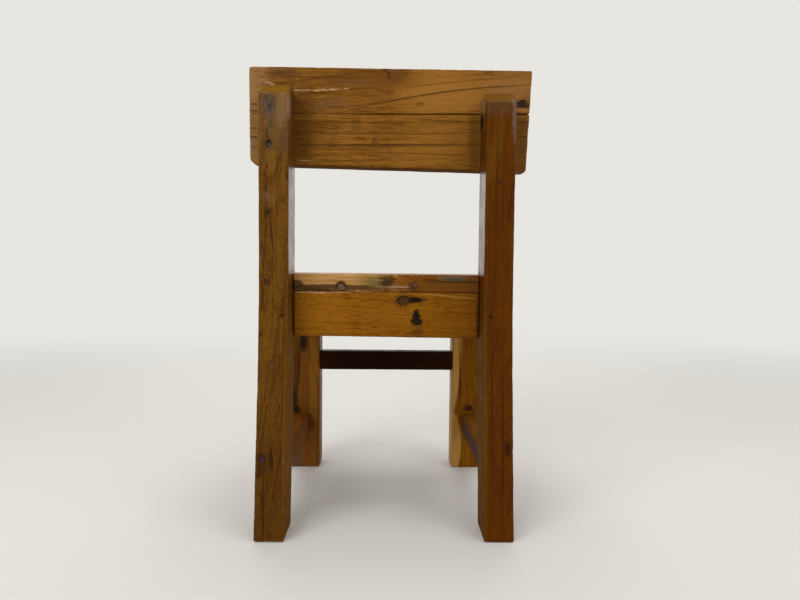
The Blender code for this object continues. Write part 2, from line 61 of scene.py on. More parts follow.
FLOOR_RADIUS = 9.0
FLOOR_TONE = (0.8, 0.78, 0.74, 1.0)
WALL_TONE = (0.8, 0.79, 0.75, 1.0)
FLOOR_ENDS = 0.7
WALL_BEGINS = 2.6
WORLD_LIGHT = 0.4


def feed(tree, socket, value):
    """Gives a socket a value, or links another node's output to it."""
    if isinstance(value, bpy.types.NodeSocket):
        tree.links.new(value, socket)
    else:
        socket.default_value = value


def add_node(tree, kind, sockets=None, **settings):
    """A node with its settings, and its sockets fed by name."""
    made = tree.nodes.new(kind)
    for name, value in settings.items():
        setattr(made, name, value)
    for name, value in (sockets or {}).items():
        feed(tree, made.inputs[name], value)
    return made


def fade(tree, value, start, end, low=0.0, high=1.0):
    """Runs smoothly from low to high while value goes from start to end."""
    names = ("Value", "From Min", "From Max", "To Min", "To Max")
    sockets = dict(zip(names, (value, start, end, low, high)))
    made = add_node(tree, "ShaderNodeMapRange", sockets, interpolation_type="SMOOTHSTEP")
    return made.outputs["Result"]


def vectors(tree, operation, *values):
    """The result of one Vector Math node, a number where the operation gives one."""
    made = add_node(tree, "ShaderNodeVectorMath", operation=operation)
    sockets = made.inputs[:1] + made.inputs[3:4] if operation == "SCALE" else made.inputs
    for socket, value in zip(sockets, values):
        feed(tree, socket, value)
    return made.outputs["Value" if operation in ("LENGTH", "DOT_PRODUCT") else "Vector"]


def arith(tree, operation, *values, clamp=False):
    """The result of one Math node."""
    made = add_node(tree, "ShaderNodeMath", operation=operation, use_clamp=clamp)
    for socket, value in zip(made.inputs, values):
        feed(tree, socket, value)
    return made.outputs[0]


camera_data = bpy.data.cameras.new("camera")
camera_data.lens = LENS
camera_data.sensor_width = SENSOR_WIDTH
camera = bpy.data.objects.new("camera", camera_data)
bpy.context.scene.collection.objects.link(camera)
facing = Euler((math.pi / 2 - CAMERA_DOWN, 0.0, math.pi - CAMERA_TURN)).to_matrix().to_4x4()
rolled = Matrix.Rotation(CAMERA_ROLL, 4, "Z")
camera.matrix_world = Matrix.Translation(CAMERA_PLACE) @ facing @ rolled
bpy.context.scene.camera = camera
bpy.context.scene.view_settings.view_transform = "Standard"

world = bpy.data.worlds.new("soft room light")
world.use_nodes = True
bpy.context.scene.world = world
sky = world.node_tree
room = sky.nodes["Background"]
room.inputs["Color"].default_value = WALL_TONE
rays = add_node(sky, "ShaderNodeLightPath").outputs
seen = rays["Is Camera Ray"]
for kind in ("Is Glossy Ray", "Is Transmission Ray"):
    seen = arith(sky, "ADD", seen, rays[kind], clamp=True)
feed(sky, room.inputs["Strength"], fade(sky, seen, 0.0, 1.0, WORLD_LIGHT, 1.0))

floor_shape = bmesh.new()
bmesh.ops.create_circle(floor_shape, cap_ends=True, segments=96, radius=FLOOR_RADIUS)
floor_mesh = bpy.data.meshes.new("floor")
floor_shape.to_mesh(floor_mesh)
floor_shape.free()
floor = bpy.data.objects.new("floor", floor_mesh)
bpy.context.scene.collection.objects.link(floor)
floor_finish = bpy.data.materials.new("pale floor")
floor_finish.use_nodes = True
floor_tree = floor_finish.node_tree
floor_shader = floor_tree.nodes["Principled BSDF"]
floor_shader.inputs["Base Color"].default_value = FLOOR_TONE
floor_shader.inputs["Roughness"].default_value = 0.7
floor_shader.inputs["Specular IOR Level"].default_value = 0.2
wall_glow = add_node(floor_tree, "ShaderNodeEmission", {"Color": WALL_TONE, "Strength": 1.0})
floor_place = add_node(floor_tree, "ShaderNodeTexCoord").outputs["Object"]
floor_far = vectors(floor_tree, "LENGTH", floor_place)
floor_mix = add_node(floor_tree, "ShaderNodeMixShader")
feed(floor_tree, floor_mix.inputs[0], fade(floor_tree, floor_far, FLOOR_ENDS, WALL_BEGINS))
feed(floor_tree, floor_mix.inputs[1], floor_shader.outputs["BSDF"])
feed(floor_tree, floor_mix.inputs[2], wall_glow.outputs["Emission"])
floor_surface = floor_tree.nodes["Material Output"].inputs["Surface"]
feed(floor_tree, floor_surface, floor_mix.outputs["Shader"])
floor_mesh.materials.append(floor_finish)


def softbox(name, place, aim, size, power):
    """A square area lamp that faces a point, and that the camera doesn't see."""
    data = bpy.data.lights.new(name, "AREA")
    data.size = size
    data.energy = power
    lamp = bpy.data.objects.new(name, data)
    bpy.context.scene.collection.objects.link(lamp)
    lamp.location = place
    way = Vector(aim) - Vector(place)
    lamp.rotation_euler = way.to_track_quat("-Z", "Y").to_euler()
    lamp.visible_camera = False


softbox("rear_left", (1.3, 1.9, 1.5), (0.0, 0.0, 0.3), 1.6, 27.0)
softbox("rear_right", (-1.6, 1.5, 1.1), (0.0, 0.0, 0.3), 1.6, 13.0)
softbox("overhead", (0.0, -0.2, 2.4), (0.0, 0.0, 0.2), 2.0, 22.0)
softbox("front", (0.0, -2.1, 1.35), (0.0, 0.0, 1.2), 2.7, 19.0)


# Rear posts. Each is one length of reclaimed softwood, sawn to a bend at seat height, with a
# chamfered top. The left one is olive brown and full of small knots, the right one red brown.
# The rails are tenoned into them, and the rear rail is pinned with nails from behind.
VOXEL_SEEN = 0.0013
VOXEL_HIDDEN = 0.0016
RUBBING = 0.5
RELIEF = 0.0002
DENT_DEPTH = 0.0004
GRAIN_ALONG = 22.0
GRAIN_ACROSS = 420.0
WIDE_BLUR = 8
NARROW_BLUR = 2
WELD = 0.000001
POST_GRAIN = "ZXY"
POST_REAR = 0.1286


def times(tree, first, second):
    """The product of two numbers."""
    return arith(tree, "MULTIPLY", first, second)


def noise(tree, place, detail, roughness, output="Fac"):
    """Smooth random values at a place that is already scaled."""
    made = add_node(tree, "ShaderNodeTexNoise", {"Vector": place, "Scale": 1.0})
    made.inputs["Detail"].default_value = detail
    made.inputs["Roughness"].default_value = roughness
    return made.outputs[output]


def stretched(tree, place, scale, detail, roughness=0.5):
    """Random values that are drawn out by a different scale along each axis."""
    return noise(tree, vectors(tree, "MULTIPLY", place, scale), detail, roughness)


def paint(tree, share, under, over):
    """One colour laid over another."""
    made = add_node(tree, "ShaderNodeMix", data_type="RGBA")
    factor, below, above = made.inputs[0], made.inputs[6], made.inputs[7]
    for socket, value in ((factor, share), (below, under), (above, over)):
        feed(tree, socket, (*value, 1.0) if isinstance(value, tuple) else value)
    return made.outputs[2]


def open_group(name, inputs, outputs):
    """A shader node group with named sockets. Returns its tree, its inputs and its outputs."""
    tree = bpy.data.node_groups.new(name, "ShaderNodeTree")
    kinds = {float: "NodeSocketFloat", tuple: "NodeSocketVector"}
    for label, value in inputs.items():
        made = tree.interface.new_socket(label, in_out="INPUT", socket_type=kinds[type(value)])
        made.default_value = value
    for label, kind in outputs.items():
        tree.interface.new_socket(label, in_out="OUTPUT", socket_type=kinds[kind])
    entry = tree.nodes.new("NodeGroupInput")
    leaving = tree.nodes.new("NodeGroupOutput")
    return tree, entry.outputs, leaving.inputs


def softwood_group():
    """The figure of a softwood log, at a place along the grain, across it and into the timber."""
    tree, given, result = open_group(
        "softwood grain",
        {
            "Place": (0.0, 0.0, 0.0),
            "Pith": (0.0, 0.05, 0.05),
            "Lean": (0.0, 0.0, 0.0),
            "Ring Width": 0.003,
            "Wander": 0.006,
            "Fleck Scale": (28.0, 520.0, 520.0),
            "Seed": 0.0,
        },
        dict.fromkeys(
            ("Rings", "Fibre", "Streaks", "Flecks", "Dashes", "Pits", "Clouds"),
            float,
        ),
    )
    place = given["Place"]
    shift = vectors(tree, "SCALE", (0.713, 0.377, 0.519), given["Seed"])
    moved = vectors(tree, "ADD", place, shift)
    swell = noise(tree, vectors(tree, "MULTIPLY", moved, (5.0, 16.0, 16.0)), 2.0, 0.5, "Color")
    swell = vectors(tree, "SUBTRACT", swell, (0.5, 0.5, 0.5))
    swell = vectors(tree, "SCALE", swell, given["Wander"])
    along = add_node(tree, "ShaderNodeSeparateXYZ", {"Vector": place}).outputs["X"]
    centre = vectors(tree, "ADD", given["Pith"], vectors(tree, "SCALE", given["Lean"], along))
    radial = vectors(tree, "SUBTRACT", vectors(tree, "ADD", place, swell), centre)
    radial = vectors(tree, "MULTIPLY", radial, (0.0, 1.0, 1.0))
    count = arith(tree, "DIVIDE", vectors(tree, "LENGTH", radial), given["Ring Width"])
    uneven = add_node(tree, "ShaderNodeTexNoise", {"Scale": 0.55}, noise_dimensions="1D")
    feed(tree, uneven.inputs["W"], count)
    count = arith(tree, "MULTIPLY_ADD", uneven.outputs["Fac"], 2.2, count)
    part = arith(tree, "FRACT", count)
    late = times(tree, arith(tree, "POWER", part, 4.0), fade(tree, part, 1.0, 0.93))
    strength = add_node(tree, "ShaderNodeTexNoise", {"Scale": 1.7}, noise_dimensions="1D")
    feed(tree, strength.inputs["W"], arith(tree, "FLOOR", count))
    strength = fade(tree, strength.outputs["Fac"], 0.3, 0.7, 0.15, 1.0)
    broken = fade(tree, stretched(tree, moved, (30.0, 120.0, 120.0), 2.0), 0.3, 0.55, 0.35, 1.0)
    strength = times(tree, strength, broken)
    feed(tree, result["Rings"], times(tree, late, strength))
    feed(tree, result["Fibre"], stretched(tree, moved, (26.0, 760.0, 760.0), 3.0, 0.65))
    streaks = stretched(tree, moved, (7.0, 360.0, 360.0), 4.0, 0.62)
    feed(tree, result["Streaks"], fade(tree, streaks, 0.33, 0.67))
    short = stretched(tree, moved, given["Fleck Scale"], 2.5, 0.6)
    feed(tree, result["Flecks"], fade(tree, short, 0.32, 0.68))
    feed(tree, result["Dashes"], fade(tree, short, 0.6, 0.68))
    pits = stretched(tree, moved, (240.0, 560.0, 560.0), 3.0, 0.72)
    feed(tree, result["Pits"], fade(tree, pits, 0.58, 0.68))
    clouds = stretched(tree, moved, (16.0, 42.0, 42.0), 3.0, 0.6)
    feed(tree, result["Clouds"], fade(tree, clouds, 0.36, 0.64))
    return tree


def knot_group():
    """A knot that runs through the timber, and how far it pushes the grain aside."""
    tree, given, result = open_group(
        "knot",
        {
            "Place": (0.0, 0.0, 0.0),
            "Centre": (0.0, 0.0, 0.0),
            "Size": (0.005, 0.005, 1.0),
            "Heart Share": 0.55,
        },
        {"Body": float, "Heart": float, "Halo": float, "Whorl": float, "Push": tuple},
    )
    away = vectors(tree, "SUBTRACT", given["Place"], given["Centre"])
    ragged = noise(tree, vectors(tree, "SCALE", given["Place"], 230.0), 3.0, 0.6, "Color")
    ragged = vectors(tree, "SCALE", vectors(tree, "SUBTRACT", ragged, (0.5, 0.5, 0.5)), 1.7)
    scaled = vectors(tree, "ADD", vectors(tree, "DIVIDE", away, given["Size"]), ragged)
    scaled = vectors(tree, "MULTIPLY", scaled, (1.0, 1.0, 0.0))
    far = vectors(tree, "LENGTH", scaled)
    feed(tree, result["Body"], fade(tree, far, 1.12, 0.88))
    inner = vectors(tree, "LENGTH", vectors(tree, "ADD", scaled, (0.14, 0.12, 0.0)))
    outer = arith(tree, "ADD", given["Heart Share"], 0.12)
    full = arith(tree, "SUBTRACT", given["Heart Share"], 0.14)
    feed(tree, result["Heart"], fade(tree, inner, outer, full))
    feed(tree, result["Halo"], fade(tree, far, 2.4, 0.9))
    feed(tree, result["Whorl"], arith(tree, "FRACT", times(tree, far, 3.2)))
    falling = times(tree, times(tree, far, far), -0.35)
    pull = vectors(tree, "MULTIPLY", away, (0.0, -0.7, 0.0))
    feed(tree, result["Push"], vectors(tree, "SCALE", pull, arith(tree, "EXPONENT", falling)))
    return tree


def patch_group():
    """A stained, streaked or worn place, or painted shade or light: ragged, leaning and bowed along
    the grain.
    """
    tree, given, result = open_group(
        "patch",
        {
            "Place": (0.0, 0.0, 0.0),
            "Centre": (0.0, 0.0, 0.0),
            "Size": (0.01, 0.01, 1.0),
            "Lean": 0.0,
            "Bow": 0.0,
            "Soft": 0.5,
            "Ragged": 0.4,
        },
        {"Mask": float},
    )
    away = vectors(tree, "SUBTRACT", given["Place"], given["Centre"])
    split = add_node(tree, "ShaderNodeSeparateXYZ", {"Vector": away}).outputs
    slope = arith(tree, "MULTIPLY_ADD", split["X"], given["Bow"], given["Lean"])
    across = arith(tree, "SUBTRACT", split["Y"], times(tree, split["X"], slope))
    leaned = add_node(tree, "ShaderNodeCombineXYZ", {"X": split["X"], "Y": across, "Z": split["Z"]})
    far = vectors(tree, "LENGTH", vectors(tree, "DIVIDE", leaned.outputs["Vector"], given["Size"]))
    rough = stretched(tree, given["Place"], (140.0, 480.0, 480.0), 3.0, 0.65)
    rough = arith(tree, "SUBTRACT", rough, 0.5)
    far = arith(tree, "MULTIPLY_ADD", rough, times(tree, given["Ragged"], 3.4), far)
    inner = arith(tree, "SUBTRACT", 1.0, given["Soft"])
    outer = arith(tree, "ADD", 1.0, given["Soft"])
    feed(tree, result["Mask"], fade(tree, far, outer, inner))
    return tree


def wear_group():
    """Where the varnish has gone from the arrises, and how dull the rest of it is."""
    tree, given, result = open_group(
        "worn varnish",
        {"Place": (0.0, 0.0, 0.0), "Arris": 0.0},
        {"Bare": float, "Dull": float},
    )
    spotted = noise(tree, vectors(tree, "SCALE", given["Place"], 260.0), 4.0, 0.68)
    spotted = fade(tree, spotted, 0.5, 0.66)
    stretches = noise(tree, vectors(tree, "SCALE", given["Place"], 21.0), 2.0, 0.5)
    stretches = fade(tree, stretches, 0.46, 0.62)
    bare = times(tree, times(tree, spotted, stretches), given["Arris"])
    feed(tree, result["Bare"], bare)
    clouds = noise(tree, vectors(tree, "SCALE", given["Place"], 38.0), 3.0, 0.6)
    feed(tree, result["Dull"], fade(tree, clouds, 0.35, 0.7))
    return tree


VARNISH_TINT = (1.0, 0.78, 0.45, 1.0)
SOFTWOOD = softwood_group()
KNOT = knot_group()
PATCH = patch_group()
WORN_VARNISH = wear_group()
VARNISH_SHINE = 0.08
BUMP_STRENGTH = 0.45
BUMP_DEPTH = 0.0006
PATCH_DEPTH = 0.02
SOFT = 0.5


def grained(order, point, rear=0.0):
    """A point as it lies along the grain, across it and into the timber.

    A point of two values, x and z, lies on the timber's rear face.
    """
    if len(point) == 2:
        point = (point[0], rear, point[1])
    return tuple(point["XYZ".index(axis)] for axis in order)


def group_node(tree, group, sockets):
    """The outputs of a node group whose inputs are fed by name."""
    return add_node(tree, "ShaderNodeGroup", sockets, node_tree=group).outputs


def patch_between(ends, radii, shade, strength, bow, soft, ragged):
    """What a patch is: where it runs, its size and shade, and how its edge looks."""
    return {
        "ends": ends,
        "radii": radii,
        "shade": shade,
        "strength": strength,
        "edge": {"Bow": bow, "Soft": soft, "Ragged": ragged},
    }


def round_patch(centre, radii, shade, strength, soft=SOFT, ragged=0.35):
    """A patch round a point. Its radii are along the grain, across it and, if given, into it."""
    return patch_between((centre, centre), radii, shade, strength, 0.0, soft, ragged)


def streak(start, end, width, shade, strength, bow=0.0, ragged=0.3, deep=PATCH_DEPTH):
    """A thin patch that runs along the grain from one point to another."""
    radii = (0.0, width, deep)
    return patch_between((start, end), radii, shade, strength, bow, SOFT, ragged)


def patch_mask(tree, order, rear, place, patch):
    """The mask of one patch: a stained or streaked place, or painted shade or light."""
    first, last = (Vector(grained(order, end, rear)) for end in patch["ends"])
    along, across, into = (*patch["radii"], PATCH_DEPTH)[:3]
    lean = 0.0
    if first != last:
        along = abs(last.x - first.x) / 2
        lean = (last.y - first.y) / (last.x - first.x)
    sockets = {
        "Place": place,
        "Centre": (first + last) / 2,
        "Size": (along, across, into),
        "Lean": lean,
        **patch["edge"],
    }
    return group_node(tree, PATCH, sockets)["Mask"]


def varnished_wood(
    name,
    order,
    tones,
    log,
    knots=(),
    patches=(),
    polished=(),
    flecks=((28.0, 520.0, 520.0), 0.4),
    contrast=1.0,
    dull=0.4,
    rear=0.0,
):
    """The finish of one timber: its grain, knots, stains and painted shade and light, under worn
    varnish.

    order names the axes along the grain, across the main face and into it. tones are the light
    and the dark of the wood. log is (pith, lean, ring width, wander, seed). A knot is (centre,
    radius along, radius across, heart colour, rim colour, share of it that is heart). polished
    are patches that are rubbed glossy, or dulled where their strength is below 0. flecks are the
    scale and the strength of the short marks. rear is the y of the timber's rear face.
    """
    finish = bpy.data.materials.new(name)
    finish.use_nodes = True
    tree = finish.node_tree
    shader = tree.nodes["Principled BSDF"]
    here = add_node(tree, "ShaderNodeTexCoord").outputs["Object"]
    split = add_node(tree, "ShaderNodeSeparateXYZ", {"Vector": here}).outputs
    turned = {axis: split[source] for axis, source in zip("XYZ", order)}
    place = add_node(tree, "ShaderNodeCombineXYZ", turned).outputs["Vector"]
    found = []
    pushed = place
    for centre, along, across, heart, rim, share in knots:
        sockets = {
            "Place": place,
            "Centre": grained(order, centre, rear),
            "Size": (along, across, 1.0),
            "Heart Share": share,
        }
        made = group_node(tree, KNOT, sockets)
        found.append((made, heart, rim))
        pushed = vectors(tree, "ADD", pushed, made["Push"])
    pith, lean, ring_width, wander, seed = log
    sockets = {
        "Place": pushed,
        "Pith": grained(order, pith),
        "Lean": lean,
        "Ring Width": ring_width,
        "Wander": wander,
        "Fleck Scale": flecks[0],
        "Seed": seed,
    }
    grain = group_node(tree, SOFTWOOD, sockets)
    light, dark = tones
    shares = {"Streaks": 0.34, "Clouds": 0.24, "Fibre": 0.5, "Flecks": flecks[1], "Rings": 0.7}
    depth = 0.5 - contrast * (0.58 + 0.5 * flecks[1])
    for label, share in shares.items():
        depth = arith(tree, "MULTIPLY_ADD", grain[label], share * contrast, depth)
    depth = arith(tree, "MINIMUM", depth, 1.0, clamp=True)
    colour = paint(tree, depth, light, dark)
    deep = tuple(0.45 * part for part in dark)
    colour = paint(tree, times(tree, grain["Dashes"], flecks[1]), colour, deep)
    colour = paint(tree, times(tree, grain["Pits"], 0.6), colour, deep)
    height = arith(tree, "MULTIPLY_ADD", grain["Fibre"], 0.6, times(tree, depth, -0.5))
    for patch in patches:
        mask = patch_mask(tree, order, rear, place, patch)
        mask = times(tree, mask, patch["strength"])
        colour = paint(tree, mask, colour, patch["shade"])
    for made, heart, rim in found:
        colour = paint(tree, times(tree, made["Halo"], 0.3), colour, rim)
        colour = paint(tree, times(tree, made["Body"], 0.9), colour, rim)
        heart_tone = paint(tree, times(tree, made["Whorl"], 0.65), heart, rim)
        core = times(tree, made["Heart"], made["Body"])
        colour = paint(tree, core, colour, heart_tone)
        height = arith(tree, "MULTIPLY_ADD", made["Body"], -0.8, height)
    edges = {}
    for label in ("arris", "hollow"):
        edges[label] = add_node(tree, "ShaderNodeAttribute", attribute_name=label).outputs["Fac"]
    worn = group_node(tree, WORN_VARNISH, {"Place": here, "Arris": edges["arris"]})
    bare_wood = tuple(0.03 + 1.4 * part for part in light)
    colour = paint(tree, times(tree, worn["Bare"], 0.3), colour, bare_wood)
    # Painted shade and dirt: the timber is darkened in its own hollows.
    hollow_dirt_and_shade = tuple(0.25 * part for part in dark)
    colour = paint(tree, times(tree, edges["hollow"], 0.7), colour, hollow_dirt_and_shade)
    feed(tree, shader.inputs["Base Color"], colour)
    rough = arith(tree, "MULTIPLY_ADD", worn["Dull"], 0.16, dull)
    rough = arith(tree, "MULTIPLY_ADD", worn["Bare"], 0.2, rough)
    for patch in polished:
        shine = patch_mask(tree, order, rear, place, patch)
        shine = times(tree, shine, -patch["strength"])
        rough = arith(tree, "MULTIPLY_ADD", shine, rough, rough)
    feed(tree, shader.inputs["Roughness"], rough)
    shader.inputs["Specular IOR Level"].default_value = VARNISH_SHINE
    shader.inputs["Specular Tint"].default_value = VARNISH_TINT
    sockets = {"Height": height, "Strength": BUMP_STRENGTH, "Distance": BUMP_DEPTH}
    bump = add_node(tree, "ShaderNodeBump", sockets)
    feed(tree, shader.inputs["Normal"], bump.outputs["Normal"])
    return finish


def worn_timber_tree():
    """Geometry nodes that age a timber: rubbed arrises, raised grain and shallow dents."""
    tree = bpy.data.node_groups.new("worn timber", "GeometryNodeTree")
    face = tree.interface
    face.new_socket("Geometry", in_out="INPUT", socket_type="NodeSocketGeometry")
    numbers = {"Rubbing": RUBBING, "Relief": RELIEF, "Dents": DENT_DEPTH, "Seed": 0.0}
    for label, value in numbers.items():
        face.new_socket(label, in_out="INPUT", socket_type="NodeSocketFloat").default_value = value
    made = face.new_socket("Grain Scale", in_out="INPUT", socket_type="NodeSocketVector")
    made.default_value = (GRAIN_ACROSS, GRAIN_ACROSS, GRAIN_ALONG)
    face.new_socket("Finish", in_out="INPUT", socket_type="NodeSocketMaterial")
    face.new_socket("Geometry", in_out="OUTPUT", socket_type="NodeSocketGeometry")
    given = tree.nodes.new("NodeGroupInput").outputs
    result = tree.nodes.new("NodeGroupOutput").inputs
    place = tree.nodes.new("GeometryNodeInputPosition").outputs["Position"]
    normal = tree.nodes.new("GeometryNodeInputNormal").outputs["Normal"]

    def blurred(rounds):
        made = add_node(tree, "GeometryNodeBlurAttribute", data_type="FLOAT_VECTOR")
        made.inputs["Iterations"].default_value = rounds
        socket = next(s for s in made.inputs if s.type == "VECTOR" and s.enabled)
        feed(tree, socket, place)
        return next(s for s in made.outputs if s.type == "VECTOR" and s.enabled)

    seeded = vectors(tree, "ADD", place, vectors(tree, "SCALE", (0.31, 0.17, 0.53), given["Seed"]))
    pulled = vectors(tree, "SUBTRACT", blurred(WIDE_BLUR), place)
    inwards = vectors(tree, "DOT_PRODUCT", pulled, normal)
    rubbed = fade(tree, noise(tree, vectors(tree, "SCALE", seeded, 34.0), 3.0, 0.6), 0.46, 0.64)
    rubbed = times(tree, rubbed, given["Rubbing"])
    softened = vectors(tree, "SUBTRACT", blurred(NARROW_BLUR), place)
    softened = vectors(tree, "SCALE", softened, 0.7)
    step = vectors(tree, "ADD", softened, vectors(tree, "SCALE", pulled, rubbed))
    grain = noise(tree, vectors(tree, "MULTIPLY", seeded, given["Grain Scale"]), 3.0, 0.6)
    sink = times(tree, grain, given["Relief"])
    chips = add_node(tree, "ShaderNodeTexVoronoi", {"Scale": 1.0, "Randomness": 1.0})
    feed(tree, chips.inputs["Vector"], vectors(tree, "SCALE", seeded, 34.0))
    shallow = fade(tree, chips.outputs["Distance"], 0.24, 0.0)
    sink = arith(tree, "MULTIPLY_ADD", shallow, given["Dents"], sink)
    inward = vectors(tree, "SCALE", normal, times(tree, sink, -1.0))
    step = vectors(tree, "ADD", step, inward)
    geometry = given["Geometry"]
    for label, start, end in (("arris", -0.00012, -0.00045), ("hollow", 0.00008, 0.0005)):
        made = add_node(tree, "GeometryNodeStoreNamedAttribute", data_type="FLOAT", domain="POINT")
        made.inputs["Name"].default_value = label
        feed(tree, made.inputs["Value"], fade(tree, inwards, start, end))
        feed(tree, made.inputs["Geometry"], geometry)
        geometry = made.outputs["Geometry"]
    moved = add_node(tree, "GeometryNodeSetPosition", {"Geometry": geometry, "Offset": step})
    smooth = add_node(tree, "GeometryNodeSetShadeSmooth", {"Geometry": moved.outputs["Geometry"]})
    whole = add_node(tree, "GeometryNodeRealizeInstances", {"Geometry": smooth.outputs["Geometry"]})
    coated = add_node(tree, "GeometryNodeSetMaterial", {"Geometry": whole.outputs["Geometry"]})
    feed(tree, coated.inputs["Material"], given["Finish"])
    feed(tree, result["Geometry"], coated.outputs["Geometry"])
    return tree


WORN_TIMBER = worn_timber_tree()


def evaluated_mesh(obj):
    """A plain mesh of what the object's modifiers make."""
    bpy.context.view_layer.update()
    graph = bpy.context.evaluated_depsgraph_get()
    return bpy.data.meshes.new_from_object(obj.evaluated_get(graph))


def set_input(modifier, label, value):
    """Sets a geometry nodes input by its socket's identifier."""
    for item in modifier.node_group.interface.items_tree:
        if item.item_type == "SOCKET" and item.in_out == "INPUT" and item.name == label:
            modifier[item.identifier] = value


def nails_in(node):
    """The nails whose boxes meet this timber's."""
    low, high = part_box(node)
    held = []
    for name in sorted(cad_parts):
        if "nail" in name:
            nail_low, nail_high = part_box(name)
            if all(a < d and c < b for a, b, c, d in zip(low, high, nail_low, nail_high)):
                held.append(name)
    return held


def even_copy(node, voxel):
    """A copy of a packed timber with small even faces and its nail holes filled."""
    shape = bmesh.new()
    for name in [node] + nails_in(node):
        shape.from_mesh(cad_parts[name].data)
    bmesh.ops.remove_doubles(shape, verts=shape.verts, dist=WELD)
    mesh = bpy.data.meshes.new(f"{node}_timber")
    shape.to_mesh(mesh)
    shape.free()
    obj = bpy.data.objects.new(f"{node}_timber", mesh)
    bpy.context.scene.collection.objects.link(obj)
    remesh = obj.modifiers.new("even faces", "REMESH")
    remesh.mode = "VOXEL"
    remesh.voxel_size = voxel
    made = evaluated_mesh(obj)
    obj.modifiers.clear()
    obj.data = made
    return obj


def press(obj, spot, radii, way):
    """Pushes the surface near spot by way, most at the spot and nothing at its radii."""
    mesh = obj.data
    places = np.empty(len(mesh.vertices) * 3)
    mesh.vertices.foreach_get("co", places)
    places = places.reshape(-1, 3)
    away = (places - np.array(spot)) / np.array(radii)
    share = np.clip(1.0 - (away**2).sum(axis=1), 0.0, 1.0) ** 1.5
    places += share[:, None] * np.array(way)
    mesh.vertices.foreach_set("co", places.ravel())


def age(node, finish, order, seed, voxel=VOXEL_SEEN, presses=()):
    """Makes the worn timber that stands for a packed one."""
    obj = even_copy(node, voxel)
    for spot, radii, way in presses:
        press(obj, spot, radii, way)
    modifier = obj.modifiers.new("worn timber", "NODES")
    modifier.node_group = WORN_TIMBER
    values = {
        "Seed": seed,
        "Grain Scale": tuple(GRAIN_ALONG if a == order[0] else GRAIN_ACROSS for a in "XYZ"),
        "Finish": finish,
    }
    for label, value in values.items():
        set_input(modifier, label, value)
    made = evaluated_mesh(obj)
    obj.modifiers.clear()
    obj.data = made
    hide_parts(node)
    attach(obj, "root")


# Near black: the rims of knots, and a painted shadow on the left leg.
BLACK_RIM_AND_SHADOW = (0.01, 0.006, 0.005)
DARK_STREAK = (0.03, 0.01, 0.003)
# Painted light: the golden tone of the post tops' chamfers, as they are lit from above.
CHAMFER_PAINTED_LIGHT = (0.19, 0.084, 0.004)

